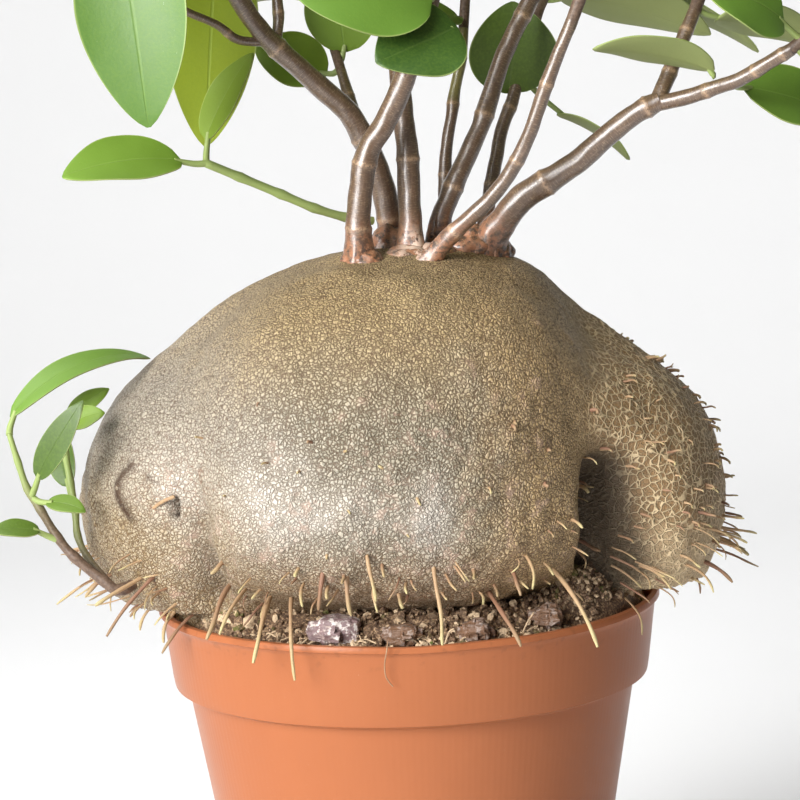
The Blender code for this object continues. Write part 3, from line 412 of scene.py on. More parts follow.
# Camera, in metres and millimetres, with the directions of its own right, up and view
CAMERA_PLACE = (0.0, -0.83264, 0.28592)
CAMERA_LENS = 146.8
CAMERA_SENSOR = 36.0
CAMERA_RIGHT = Vector((0.99926478, -0.00514407, -0.03799254))
CAMERA_UP = Vector((0.03833763, 0.14304263, 0.98897373))
CAMERA_FORWARD = Vector((-0.000347, 0.98970316, -0.14313468))


# Shader maths

class Wire:
    """A shader socket. Sums with numbers or other wires add Math nodes, and make() any other node."""

    def __init__(self, tree, socket):
        self.tree = tree
        self.socket = socket

    def make(self, kind, settings, inputs, output=0):
        node = self.tree.nodes.new(kind)
        for name, value in settings.items():
            setattr(node, name, value)
        for key, value in inputs.items():
            if isinstance(value, Wire):
                self.tree.links.new(value.socket, node.inputs[key])
            else:
                node.inputs[key].default_value = value
        return Wire(self.tree, node.outputs[output])

    def maths(self, operation, *values):
        return self.make("ShaderNodeMath", {"operation": operation}, dict(enumerate(values)))

    def __add__(self, other):
        return self.maths("ADD", self, other)

    def __radd__(self, other):
        return self.maths("ADD", other, self)

    def __sub__(self, other):
        return self.maths("SUBTRACT", self, other)

    def __rsub__(self, other):
        return self.maths("SUBTRACT", other, self)

    def __mul__(self, other):
        return self.maths("MULTIPLY", self, other)

    def __rmul__(self, other):
        return self.maths("MULTIPLY", other, self)

    def rise(self, low, high):
        """0 below low, 1 above high, and smooth between them."""
        return self.make("ShaderNodeMapRange", {"interpolation_type": "SMOOTHSTEP"},
                         {"Value": self, "From Min": low, "From Max": high}, "Result")

    def blend(self, first, second):
        """A colour that goes from the first to the second as this wire goes from 0 to 1."""
        inputs = {0: self, 6: as_colour(first), 7: as_colour(second)}
        return self.make("ShaderNodeMix", {"data_type": "RGBA"}, inputs, 2)

    def noise(self, size, detail=3.0, roughness=0.55):
        """Smooth noise, 0 to 1, with features of about this size in millimetres."""
        inputs = {"Vector": self, "Scale": 1.0 / size, "Detail": detail, "Roughness": roughness}
        return self.make("ShaderNodeTexNoise", {}, inputs, 0)

    def cell_edge(self, size):
        """Distance to the nearest edge in a pattern of cells of about this size in millimetres."""
        inputs = {"Vector": self, "Scale": 1.0 / size}
        return self.make("ShaderNodeTexVoronoi", {"feature": "DISTANCE_TO_EDGE"}, inputs, "Distance")

    def shifted(self, size, amount):
        """This place, pushed about by noise, so that patterns read there aren't regular."""
        push = self.make("ShaderNodeTexNoise", {}, {"Vector": self, "Scale": 1.0 / size}, "Color")
        centred = push.vector("SUBTRACT", {1: (0.5, 0.5, 0.5)})
        return self.vector("ADD", {1: centred.vector("SCALE", {"Scale": amount})})

    def stretched(self, factors):
        return self.vector("MULTIPLY", {1: factors})

    def vector(self, operation, inputs):
        return self.make("ShaderNodeVectorMath", {"operation": operation}, {0: self, **inputs})

    def axis(self, name):
        return self.make("ShaderNodeSeparateXYZ", {}, {0: self}, name)

    def value(self, name):
        """A number that the mesh holds at each of its points."""
        return self.make("ShaderNodeAttribute", {"attribute_name": name}, {}, "Fac")


def as_colour(value):
    return value if isinstance(value, Wire) else (*value, 1.0)


def new_material(name):
    """A material with its wire that gives the place in millimetres."""
    material = bpy.data.materials.new(name)
    material.use_nodes = True
    tree = material.node_tree
    coordinates = Wire(tree, tree.nodes.new("ShaderNodeTexCoord").outputs["Object"])
    return material, coordinates.vector("SCALE", {"Scale": 1.0 / MM})


def finish_material(material, colour, roughness, height=None, depth=0.3, **fixed):
    """Joins the finish to the shader. Height is raised by depth, in millimetres."""
    tree = material.node_tree
    shader = tree.nodes["Principled BSDF"]
    if height is not None:
        bump = height.make("ShaderNodeBump", {}, {"Distance": depth * MM, "Height": height}, "Normal")
        tree.links.new(bump.socket, shader.inputs["Normal"])
    for name, value in (("Base Color", colour), ("Roughness", roughness)):
        if isinstance(value, Wire):
            tree.links.new(value.socket, shader.inputs[name])
        else:
            shader.inputs[name].default_value = value
    for name, value in fixed.items():
        shader.inputs[name.replace("_", " ")].default_value = value
    return material


# Finishes

def tuber_skin():
    """Tan to olive corky skin: fine dark cracks, pale cell edges, bloom and a pale patch with painted
    sheen, painted shade in the creases, the holes and partly low on the left, a net on the right lobe.
    """
    material, place = new_material("caudex_skin")
    x, z = place.axis("X"), place.axis("Z")
    broad = place.noise(24.0, 3.0)
    patchy = place.noise(6.0, 4.0)
    speckle = place.noise(0.8, 3.0, 0.7)
    crease, bloom, lumps = (place.value(name) for name in ("crease", "bloom", "lumps"))
    pale, hole, scar = (place.value(name) for name in ("pale", "hole", "scar"))
    right = (x + patchy * 18.0).rise(48.0, 62.0)
    left = (0.0 - x + broad * 20.0).rise(26.0, 62.0)
    top = (z + broad * 24.0).rise(178.0, 208.0)
    low = 1.0 - (z + patchy * 14.0).rise(131.0, 150.0)
    left_low = left * (1.0 - (z + patchy * 16.0).rise(148.0, 170.0))
    warped = place.shifted(1.3, 1.7)
    edge = warped.cell_edge(0.92)
    crack = 1.0 - edge.rise(0.0, 0.12)
    pale_edge = edge.rise(0.07, 0.18) * (1.0 - edge.rise(0.26, 0.46))
    broken = place.noise(1.9, 3.0).rise(0.22, 0.58)
    ground = broad.blend((0.235, 0.205, 0.140), (0.165, 0.145, 0.095))
    ground = (left * 0.85).blend(ground, (0.40, 0.355, 0.295))
    ground = (top * (0.85 - 0.50 * left)).blend(ground, (0.37, 0.255, 0.120))
    # Golden-brown towards the bottom, darkest low on the left lobe: partly the skin's own colour,
    # partly painted shade under the lobes
    ground = (low * 0.8).blend(ground, (0.40, 0.245, 0.125))
    ground = (left_low * 0.90).blend(ground, (0.30, 0.200, 0.075))
    golden = (x + patchy * 24.0).rise(20.0, 46.0)
    ground = (golden * 0.85).blend(ground, (0.40, 0.260, 0.115))
    ground = (right * 0.9).blend(ground, (0.33, 0.195, 0.085))
    ground = (right * low * 0.8).blend(ground, (0.72, 0.54, 0.32))
    # Pale patch on the left lobe: painted sheen
    ground = (pale * patchy.rise(0.35, 0.55) * 0.8).blend(ground, (0.66, 0.58, 0.47))
    dark = place.noise(1.5, 4.0, 0.7).rise(0.54, 0.72) * 0.5
    ground = dark.blend(ground, (0.10, 0.070, 0.040))
    stain = place.noise(10.0, 5.0, 0.65).rise(0.58, 0.74) * 0.40
    ground = stain.blend(ground, (0.15, 0.115, 0.065))
    edged = top.blend((0.60, 0.52, 0.39), (0.62, 0.46, 0.23))
    edged = golden.blend(edged, (0.72, 0.51, 0.26))
    skin = (pale_edge * broken * (1.0 - right) * 0.60).blend(ground, edged)
    # Bloom: the skin's pale bloom, with painted sheen on the front lobe's left shoulder and painted
    # highlights near wart tips
    skin = (bloom * (0.45 + 0.55 * speckle.rise(0.30, 0.60))).blend(skin, (0.84, 0.77, 0.69))
    skin = (crack * (1.0 - right) * (0.94 - 0.46 * bloom)).blend(skin, (0.095, 0.052, 0.024))
    red = place.shifted(1.5, 1.0).cell_edge(2.6)
    red_line = (1.0 - red.rise(0.0, 0.045)) * pale.maths("MAXIMUM", pale, low * 0.45)
    skin = (red_line * 0.75).blend(skin, (0.24, 0.095, 0.045))
    pink = lumps * place.noise(3.0, 3.0).rise(0.5, 0.62)
    skin = (pink * 0.45).blend(skin, (0.66, 0.44, 0.34))
    curly = place.shifted(2.8, 1.6)
    thread = 1.0 - curly.cell_edge(2.0).rise(0.03, 0.13)
    thin = 1.0 - curly.cell_edge(1.1).rise(0.0, 0.10)
    net = (thread.maths("MAXIMUM", thread, thin * 0.4)) * right
    skin = (net * (0.55 + 0.5 * patchy)).blend(skin, (0.88, 0.68, 0.41))
    # Painted shade in the creases between the lobes and in the hollow on the right
    crease_shaded = (crease * 0.85).blend(skin, (0.050, 0.034, 0.020))
    scarred = (scar * place.noise(1.2, 3.0).rise(0.30, 0.45)).blend(crease_shaded, (0.055, 0.026, 0.012))
    # Painted shade inside the entrance holes
    hole_shaded = hole.blend(scarred, (0.022, 0.012, 0.007))
    torn = scar.maths("MAXIMUM", scar, hole)
    roughness = 0.28 + 0.22 * speckle + 0.16 * right + 0.14 * top + 0.22 * crack + 0.40 * torn
    height = edge.rise(0.0, 0.30) * (1.0 - right) * 0.7 + speckle * 0.35 + net * 1.5
    return finish_material(material, hole_shaded, roughness, height, 0.38, Specular_IOR_Level=0.5)


def root_skin():
    """Pale tan roots, greenish towards their blunt ends, with fine lengthwise lines."""
    material, place = new_material("root_skin")
    tip, age = place.value("tip"), place.value("age")
    patchy = place.noise(1.6, 3.0)
    line = place.stretched((3.0, 3.0, 0.8)).noise(0.5, 2.0)
    tan = patchy.blend((0.54, 0.37, 0.20), (0.36, 0.21, 0.115))
    older = age.rise(0.30, 0.80).blend(tan, (0.27, 0.135, 0.080))
    fresh = (tip.rise(0.45, 1.0) * (1.0 - age) * 0.7).blend(older, (0.60, 0.56, 0.26))
    lined = (line.rise(0.5, 0.75) * 0.35).blend(fresh, (0.16, 0.095, 0.05))
    return finish_material(material, lined, 0.45 + 0.2 * patchy, line, 0.10)


def stem_bark():
    """Smooth glossy brown bark with fine cross lines, ringed nodes and rough red-brown feet with
    painted shade in their crevices.
    """
    material, place = new_material("stem_bark")
    along, around = place.value("along"), place.value("around")
    flat = place.make("ShaderNodeCombineXYZ", {}, {"X": along, "Y": around, "Z": 0.0})
    ring, low, green = place.value("ring"), place.value("low"), place.value("green")
    peel = place.value("peel")
    patchy = place.noise(4.0, 4.0)
    speckle = place.noise(0.6, 3.0, 0.7)
    cross = flat.stretched((4.6, 0.75, 1.0)).shifted(1.2, 0.4).noise(1.0, 2.0)
    long = flat.stretched((0.22, 1.8, 1.0)).noise(1.0, 3.0)
    brown = patchy.blend((0.165, 0.092, 0.048), (0.070, 0.037, 0.019))
    brown = (long.rise(0.52, 0.68) * 0.30).blend(brown, (0.36, 0.25, 0.17))
    dashes = (cross.rise(0.54, 0.66) * 0.42).blend(brown, (0.46, 0.33, 0.20))
    dashes = ((1.0 - cross.rise(0.34, 0.44)) * 0.45).blend(dashes, (0.055, 0.031, 0.020))
    olive = (green * 0.8).blend(dashes, (0.24, 0.215, 0.055))
    orange = (low * place.noise(2.2, 4.0, 0.65).rise(0.30, 0.62)).blend(olive, (0.40, 0.160, 0.068))
    # Near-black crevices in the rough feet: painted shade
    crevice_shade = low * (1.0 - place.noise(1.3, 3.0, 0.6).rise(0.38, 0.52)) * 0.9
    orange = crevice_shade.blend(orange, (0.045, 0.020, 0.010))
    husk = low * place.noise(0.9, 3.0, 0.7).rise(0.58, 0.72) * 0.60
    orange = husk.blend(orange, (0.60, 0.36, 0.21))
    scars = (ring * speckle.rise(0.35, 0.55) * 0.75).blend(orange, (0.56, 0.36, 0.21))
    torn = place.noise(2.4, 4.0, 0.7).rise(0.42, 0.52)
    peeled = (peel * torn).blend(scars, (0.72, 0.52, 0.40))
    roughness = 0.28 + 0.18 * speckle + 0.30 * low
    height = cross * 0.6 + long * 0.2 + speckle * 0.25 + low * patchy * 1.6
    return finish_material(material, peeled, roughness, height, 0.22, Specular_IOR_Level=1.0,
                           Coat_Weight=1.0, Coat_Roughness=0.27)


def leaf_green(name):
    """Thick smooth leaves with a light rim, paler and duller below, on green or woody stalks."""
    material, place = new_material(name)
    tone, yellow = place.value("tone"), place.value("yellow")
    under, across = place.value("under"), place.value("across")
    stalk, wood = place.value("stalk"), place.value("wood")
    broad = place.noise(8.0, 3.0)
    fine = place.noise(0.7, 4.0, 0.65)
    deep = broad.blend((0.020, 0.056, 0.008), (0.032, 0.082, 0.012))
    fresh = broad.blend((0.15, 0.32, 0.036), (0.20, 0.39, 0.055))
    green = tone.blend(deep, fresh)
    green = yellow.blend(green, (0.30, 0.37, 0.022))
    reach = across.maths("ABSOLUTE", across)
    rib = 1.0 - reach.rise(0.008, 0.045)
    green = (rib * (0.08 + 0.22 * tone)).blend(green, (0.28, 0.40, 0.10))
    green = ((fine.rise(0.35, 0.75) - 0.5) * 0.22 + 0.11).blend(green, (0.18, 0.29, 0.03))
    rim = reach.rise(0.955, 1.0) * (1.0 - stalk)
    green = (rim * 0.65).blend(green, (0.42, 0.50, 0.17))
    scratch = place.stretched((1.5, 1.5, 0.45)).shifted(1.2, 0.8).noise(1.0, 4.0, 0.75).rise(0.69, 0.74)
    green = (scratch * 0.6).blend(green, (0.50, 0.60, 0.38))
    pale = (tone * 0.5).blend((0.20, 0.235, 0.075), (0.33, 0.38, 0.14))
    sided = (under * (1.0 - stalk)).blend(green, pale)
    stalks = stalk.blend(sided, (0.30, 0.38, 0.12))
    bark = fine.rise(0.3, 0.7).blend((0.085, 0.050, 0.034), (0.19, 0.125, 0.085))
    colour = wood.blend(stalks, bark)
    roughness = 0.38 + 0.10 * broad + 0.18 * under + 0.1 * fine
    height = fine * 0.30 + rib * -0.5 + broad * 0.8
    return finish_material(material, colour, roughness, height, 0.14)


def soil_matter():
    """Dark damp soil with tan chips, lighter fibres and mossy specks."""
    material, place = new_material("soil_matter")
    shade = place.value("shade")
    speckle = place.noise(0.8, 4.0, 0.7)
    patchy = place.noise(5.0, 3.0)
    dark = patchy.blend((0.055, 0.028, 0.015), (0.185, 0.105, 0.058))
    mixed = speckle.rise(0.45, 0.70).blend(dark, (0.56, 0.37, 0.21))
    crumb = shade.rise(0.40, 0.90).blend(mixed, (0.78, 0.58, 0.37))
    moss = (shade.rise(0.06, 0.0) * patchy.rise(0.45, 0.6)).blend(crumb, (0.13, 0.15, 0.025))
    fibre = place.stretched((1.0, 1.0, 0.3)).noise(0.5, 2.0)
    return finish_material(material, moss, 0.42 + 0.4 * speckle, speckle + fibre * 0.5, 0.7)


def chip_matter():
    """Bark and stone chips: purple-grey or brown, a little shiny, with streaks, pale specks and whitish
    patches of painted sheen.
    """
    material, place = new_material("chip_matter")
    brown = place.value("brown")
    grain = place.stretched((0.6, 1.0, 2.4)).noise(2.2, 4.0, 0.65)
    speckle = place.noise(0.6, 3.0, 0.7)
    purple = grain.blend((0.36, 0.25, 0.25), (0.15, 0.095, 0.095))
    bark = grain.blend((0.30, 0.165, 0.095), (0.10, 0.055, 0.033))
    matter = brown.blend(purple, bark)
    pale = (grain.rise(0.52, 0.68) * (1.0 - brown * 0.6)).blend(matter, (0.58, 0.46, 0.40))
    flecked = (speckle.rise(0.6, 0.75) * 0.6).blend(pale, (0.045, 0.026, 0.018))
    # Whitish patches, mostly on the purple chip: painted sheen
    chip_sheen = (1.0 - place.noise(1.8, 4.0, 0.65).rise(0.40, 0.48)) * (1.0 - brown * 0.7)
    sheened = (chip_sheen * 0.85).blend(flecked, (0.84, 0.77, 0.72))
    return finish_material(material, sheened, 0.16 + 0.30 * speckle, grain + speckle * 0.5, 0.5)


def pot_plastic():
    """Satin terracotta-coloured plastic with faint mould lines, dust and small scuffs."""
    material, place = new_material("pot_plastic")
    x, y, z = (place.axis(name) for name in "XYZ")
    angle = x.maths("ARCTAN2", y, x)
    lines = (angle * 210.0).maths("SINE", angle * 210.0) * 0.5 + 0.5
    broad = place.noise(30.0, 3.0)
    cloud = place.stretched((1.0, 1.0, 0.25)).noise(5.0, 4.0)
    dust = place.noise(0.5, 2.0, 0.7).rise(0.72, 0.78)
    scuff = place.stretched((2.0, 2.0, 0.3)).noise(0.9, 4.0, 0.7).rise(0.69, 0.73)
    base = broad.blend((0.40, 0.136, 0.056), (0.365, 0.120, 0.048))
    worn = (cloud.rise(0.4, 0.8) * 0.15).blend(base, (0.42, 0.14, 0.055))
    dusted = (dust * 0.35).blend(worn, (0.66, 0.42, 0.30))
    rubbed = (scuff * 0.25).blend(dusted, (0.30, 0.065, 0.024))
    soiled = (z.rise(105.0, 114.0) * place.noise(2.4, 4.0).rise(0.56, 0.66) * 0.35)
    dirty = soiled.blend(rubbed, (0.20, 0.075, 0.035))
    roughness = 0.26 + 0.10 * cloud + 0.12 * dust + 0.08 * scuff
    height = lines * 0.06 + cloud * 0.12 + dust * 0.25 + scuff * 0.12
    return finish_material(material, dirty, roughness, height, 0.16, Specular_IOR_Level=0.18)


def paper_white(name):
    """Matt white paper that is clear from its back, so that the object can be seen from behind it."""
    material, place = new_material(name)
    soft = place.noise(160.0, 2.0)
    colour = soft.blend((0.90, 0.90, 0.90), (0.93, 0.93, 0.93))
    front = 1.0 - place.make("ShaderNodeNewGeometry", {}, {}, "Backfacing")
    tree = material.node_tree
    tree.links.new(front.socket, tree.nodes["Principled BSDF"].inputs["Alpha"])
    return finish_material(material, colour, 0.9 + 0.05 * soft)


# Mesh making

class Body:
    """Points, faces and named values at the points of one piece, gathered bit by bit."""

    def __init__(self, *names):
        self.points = []
        self.faces = []
        self.values = {name: [] for name in names}
        self.count = 0

    def add(self, points, faces, **values):
        points = np.asarray(points, float)
        self.faces += [tuple(int(corner) + self.count for corner in face) for face in faces]
        self.points.append(points)
        self.count += len(points)
        for name, kept in self.values.items():
            kept.append(np.broadcast_to(np.asarray(values.get(name, 0.0), float), len(points)))

    def add_rings(self, rings, **values):
        self.add(rings.reshape(-1, 3), loft(rings), **values)

    def add_tube(self, line, radii, sides, **values):
        self.add_rings(tube_rings(line, radii, sides)[0], **values)

    def piece(self, name, material, slot, *nodes, sharp=60.0):
        mesh = bpy.data.meshes.new(name)
        points = np.concatenate(self.points) * MM
        mesh.from_pydata(points.tolist(), [], self.faces)
        for label, kept in self.values.items():
            store = mesh.attributes.new(label, "FLOAT", "POINT")
            store.data.foreach_set("value", np.concatenate(kept).astype(np.float32))
        mesh.shade_smooth()
        mesh.set_sharp_from_angle(angle=math.radians(sharp))
        mesh.materials.append(material)
        item = linked(name, mesh)
        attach(item, "root")
        if nodes:
            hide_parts(*nodes)
        return item


def linked(name, data):
    """A new object with this data, in the scene."""
    item = bpy.data.objects.new(name, data)
    bpy.context.scene.collection.objects.link(item)
    return item


def patch(places, centre, spread):
    """A soft patch: 1 at its centre, and fading out over its spread."""
    return np.exp(-(((places - centre) / spread) ** 2).sum(axis=1))


def clouds(places, size, seed):
    """Smooth random heights from -1 to 1 that change over the given size."""
    cell = places / size + seed * 17.31
    base = np.floor(cell)
    part = cell - base
    part = part * part * (3 - 2 * part)
    total = np.zeros(len(places))
    for corner in np.ndindex(2, 2, 2):
        lattice = base + corner
        mixed = np.sin(lattice @ np.array([12.9898, 78.233, 37.719])) * 43758.5453
        weight = np.where(np.array(corner) == 1, part, 1 - part).prod(axis=1)
        total += weight * (mixed - np.floor(mixed))
    return total * 2 - 1


def waves(places, layers):
    """Clouds of several sizes, from a table of size, seed and height."""
    return sum(height * clouds(places, size, seed) for size, seed, height in layers)


def loft(rings):
    """Faces of a closed skin over rings of equal size, with a cap at each end."""
    count, sides = rings.shape[:2]
    number = np.arange(count * sides).reshape(count, sides)
    following = np.roll(number, -1, axis=1)
    quads = np.stack([number[:-1], following[:-1], following[1:], number[1:]], axis=-1).reshape(-1, 4)
    return quads.tolist() + [number[0][::-1].tolist(), number[-1].tolist()]


def smooth_line(points, step):
    """Points close together on a smooth curve through the given ones."""
    points = np.array([tuple(point) for point in points], float)
    ends = np.vstack([2 * points[0] - points[1], points, 2 * points[-1] - points[-2]])
    line = []
    for a, b, c, d in zip(ends[:-3], ends[1:-2], ends[2:-1], ends[3:]):
        pieces = max(2, int(np.linalg.norm(c - b) / step))
        for t in np.arange(pieces) / pieces:
            line.append(0.5 * (2 * b + (c - a) * t + (2 * a - 5 * b + 4 * c - d) * t ** 2
                               + (3 * b - a - 3 * c + d) * t ** 3))
    line.append(points[-1])
    return np.array(line)


def distances_along(line):
    return np.concatenate([[0], np.cumsum(np.linalg.norm(np.diff(line, axis=0), axis=1))])


def tube_rings(line, radii, sides):
    """Rings round a line that don't twist, with the distance along it and the angle round it."""
    tangents = np.gradient(line, axis=0)
    tangents /= np.linalg.norm(tangents, axis=1)[:, None]
    side = np.array(Vector(tangents[0]).orthogonal().normalized())
    angles = np.arange(sides) * 2 * math.pi / sides
    rings = []
    for place, tangent, radius in zip(line, tangents, radii):
        side = side - tangent * (side @ tangent)
        side /= np.linalg.norm(side)
        other = np.cross(tangent, side)
        spokes = np.cos(angles)[:, None] * side + np.sin(angles)[:, None] * other
        rings.append(place + spokes * radius)
    return np.array(rings), np.repeat(distances_along(line), sides), np.tile(angles, len(line))


def mounds(x, y, table):
    """Height of the round mounds in a table of middles, spreads and heights."""
    return sum(height * np.exp(-((x - middle[0]) / spread[0]) ** 2 - ((y - middle[1]) / spread[1]) ** 2)
               for middle, spread, height in table)


def mound_height(x, y):
    """How far the soil is raised by the heap round the tuber and by the mounds."""
    climb = np.clip((HEAP_RADIUS - np.hypot(x, y)) / HEAP_WIDTH, 0.0, 1.0)
    heap = HEAP_HEIGHT * climb ** 2 * (3 - 2 * climb)
    return heap + mounds(x, y, SOIL_MOUNDS)


# Tuber

def lobe_distance(points, blend=LOBE_BLEND):
    """Rough signed distance from the tuber's lobes, smoothly joined."""
    total = np.zeros(len(points))
    for centre, axes, fullness in LOBES.values():
        scaled = np.abs((points - np.array(centre, float)) / np.array(axes, float))
        size = (scaled ** fullness).sum(axis=1) ** (1.0 / fullness)
        total += np.exp(-(size - 1.0) * min(axes) / blend)
    return -blend * np.log(np.maximum(total, 1e-30))


def from_centre(directions, radius):
    """Points at these distances from the tuber's centre."""
    return TUBER_CENTRE + directions * radius[:, None]


def lobe_radius(directions, blend=LOBE_BLEND):
    """Distance from the tuber's centre to the outside of its lobes, found from outside in."""
    radius = np.full(len(directions), FAR_OUTSIDE)
    for _ in range(INWARD_STEPS):
        distance = lobe_distance(from_centre(directions, radius), blend)
        radius -= np.clip(distance, -2.0, 30.0) * 0.8
    return radius


def unit_vectors(count, seed):
    """Evenly random directions."""
    draw = np.random.default_rng(seed)
    vectors = draw.normal(size=(count, 3))
    return vectors / np.linalg.norm(vectors, axis=1)[:, None]


def distance_to_line(places, start, end):
    start, end = np.array(start, float), np.array(end, float)
    span = end - start
    t = np.clip((places - start) @ span / (span @ span), 0.0, 1.0)
    return np.linalg.norm(places - start - t[:, None] * span, axis=1)


def creases_and_warts(places, creases=CREASES):
    """Height of the creases and large warts, and how deep in a crease each place is."""
    crease = np.zeros(len(places))
    for points, width, depth in creases:
        distance = np.min([distance_to_line(places, start, end)
                           for start, end in zip(points[:-1], points[1:])], axis=0)
        crease += depth * np.exp(-(distance / width) ** 2)
    relief = -crease
    draw = random.Random(WART_SEED)
    directions = unit_vectors(WART_COUNT, WART_SEED)
    for wart in from_centre(directions, lobe_radius(directions)):
        size = draw.uniform(4.0, 7.0)
        height = draw.uniform(0.4, 1.2)
        relief += height * np.exp(-((places - wart) ** 2).sum(axis=1) / size ** 2)
    return relief, crease


def coarse_net(places):
    """The raised net that the CAD solid has on the right lobe."""
    cells = np.random.default_rng(NET_SEED).uniform((30, -60, 105), (95, 60, 200), size=(260, 3))
    distance = np.sort(np.linalg.norm(places[:, None, :] - cells[None], axis=2), axis=1)
    ridge = np.exp(-((distance[:, 1] - distance[:, 0]) / (0.25 * NET_CELL)) ** 2)
    side = np.clip((places[:, 0] - 46.0) / 8.0, 0.0, 1.0)
    return NET_HEIGHT * ridge * side


def neck_in(directions, radius):
    """Points of the surface, drawn in where the pot's rim is."""
    places = from_centre(directions, radius)
    across = np.linalg.norm(places[:, :2], axis=1)
    wide = (places[:, 2] < NECK_LEVEL) & (across > NECK_RADIUS)
    radius = np.where(wide, radius * NECK_RADIUS / across, radius)
    return from_centre(directions, radius)


def ball_grid(divisions):
    """Directions and outward triangles of a cube's grid spread over a ball."""
    steps = np.arange(divisions + 1)
    a, b = np.meshgrid(steps, steps, indexing="ij")
    corners, quads = [], []
    for number, (axis, side) in enumerate((axis, side) for axis in range(3) for side in (0, divisions)):
        cell = np.empty((divisions + 1, divisions + 1, 3), int)
        cell[..., axis] = side
        cell[..., (axis + 1) % 3] = a
        cell[..., (axis + 2) % 3] = b
        index = np.arange(a.size).reshape(a.shape) + number * a.size
        corners.append(cell.reshape(-1, 3))
        quads.append(np.stack([index[:-1, :-1], index[1:, :-1], index[1:, 1:], index[:-1, 1:]],
                              axis=-1).reshape(-1, 4))
    unique, inverse = np.unique(np.concatenate(corners), axis=0, return_inverse=True)
    quads = inverse.ravel()[np.concatenate(quads)]
    triangles = np.concatenate([quads[:, [0, 1, 2]], quads[:, [0, 2, 3]]])
    spread = np.tan((unique / divisions * 2 - 1) * math.pi / 4)
    directions = spread / np.linalg.norm(spread, axis=1)[:, None]
    first, second, third = (directions[triangles[:, k]] for k in range(3))
    inward = (np.cross(second - first, third - first) * first).sum(axis=1) < 0
    triangles[inward] = triangles[inward][:, ::-1]
    return directions, triangles


def coarse_tuber_tree():
    directions, triangles = ball_grid(COARSE_DIVISIONS)
    radius = lobe_radius(directions)
    places = from_centre(directions, radius)
    radius = radius + creases_and_warts(places)[0] + coarse_net(places)
    return tree_of(neck_in(directions, radius), triangles.tolist())


def small_warts(places):
    """Height of the small warts low on the front, and how near each place is to a wart's tip."""
    draw = np.random.default_rng(WART_SEED + 1)
    directions = unit_vectors(SMALL_WART_TRIES, WART_SEED + 1)
    tips = from_centre(directions, lobe_radius(directions))
    wanted = sum(share * np.exp(-((tips[:, 0] - x) / wide) ** 2 - ((tips[:, 2] - z) / high) ** 2)
                 for x, z, wide, high, share in WART_BANDS)
    wanted *= np.clip((-tips[:, 1] - 24.0) / 12.0, 0.0, 1.0)
    tips = tips[draw.random(len(tips)) < wanted]
    relief, nearness = np.zeros(len(places)), np.zeros(len(places))
    for tip in tips:
        size = draw.uniform(1.4, 2.4)
        spread = size * np.array([1.0, 1.0, draw.uniform(0.8, 1.8)])
        near = np.flatnonzero(np.abs(places - tip).max(axis=1) < 7.0)
        profile = patch(places[near], tip, spread)
        relief[near] = np.maximum(relief[near], profile * draw.uniform(0.18, 0.32) * size)
        nearness[near] = np.maximum(nearness[near], profile * draw.uniform(0.4, 1.0))
    return relief, nearness


def make_tuber(material):
    """The tuber's skin with warts of three sizes, a net on the right lobe, holes and scars."""
    directions, triangles = ball_grid(SKIN_DIVISIONS)
    radius = lobe_radius(directions, SKIN_BLEND)
    places = from_centre(directions, radius)
    relief, crease = creases_and_warts(places, SKIN_CREASES)
    lower = np.clip((165.0 - places[:, 2]) / 30.0, 0.0, 1.0)
    warty = np.clip(clouds(places, 3.2, 4) - 0.15, 0.0, 1.0) * 1.5
    relief += warty * (0.15 + 0.30 * lower) + waves(places, SKIN_WAVES)
    for centre, size, height in BULGES:
        relief += height * patch(places, centre, size)
    wart_relief, nearness = small_warts(places)
    relief += wart_relief
    # Pale bloom with painted sheen, and painted highlights near the tips of the small warts
    bloom = sum(share * patch(places, centre, spread) for centre, spread, share in BLOOMS_AND_SHEEN)
    bloom = np.clip(bloom * (1.0 + 0.45 * clouds(places, 5.0, 9) + 0.3 * nearness), 0.0, 1.0)
    right = np.clip((places[:, 0] - 48.0) / 8.0, 0.0, 1.0)
    ridge = 1.0 - np.minimum(np.abs(clouds(places, 3.4, 6)), np.abs(clouds(places, 3.4, 7))) * 5.0
    relief += np.clip(ridge, 0.0, 1.0) * right * 0.30
    hollow = np.zeros(len(places))
    for centre, axes in ENTRANCE_HOLES:
        outward = (centre - TUBER_CENTRE) / np.linalg.norm(centre - TUBER_CENTRE)
        surface = from_centre(outward, lobe_radius(outward[None]))[0]
        span = np.linalg.norm((places - surface) / (np.array(axes) * 0.9), axis=1)
        hollow = np.maximum(hollow, np.exp(-span ** 4))
        relief += HOLE_RIM_HEIGHT * np.exp(-((span - 1.45) / 0.35) ** 2)
    relief -= hollow * HOLE_DEPTH
    scar = np.zeros(len(places))
    for points, width in SCARS:
        for start, end in zip(points[:-1], points[1:]):
            scar = np.maximum(scar, np.exp(-(distance_to_line(places, start, end) / width) ** 2))
    relief += SCAR_HEIGHT * scar
    # crease and hole say where shade is painted, bloom and pale where sheen is painted
    skin = Body("crease", "pale", "scar", "hole", "bloom", "lumps")
    skin.add(neck_in(directions, radius + relief), triangles.tolist(),
             crease=np.clip(crease / 6.5, 0, 1) ** 1.5, pale=patch(places, *PALE_SHEEN_PATCH), scar=scar,
             hole=np.clip(hollow * 4.0, 0, 1), bloom=bloom, lumps=nearness)
    return skin.piece("tuber_skin", material, "caudex_skin", "caudex", sharp=180.0)


# Roots

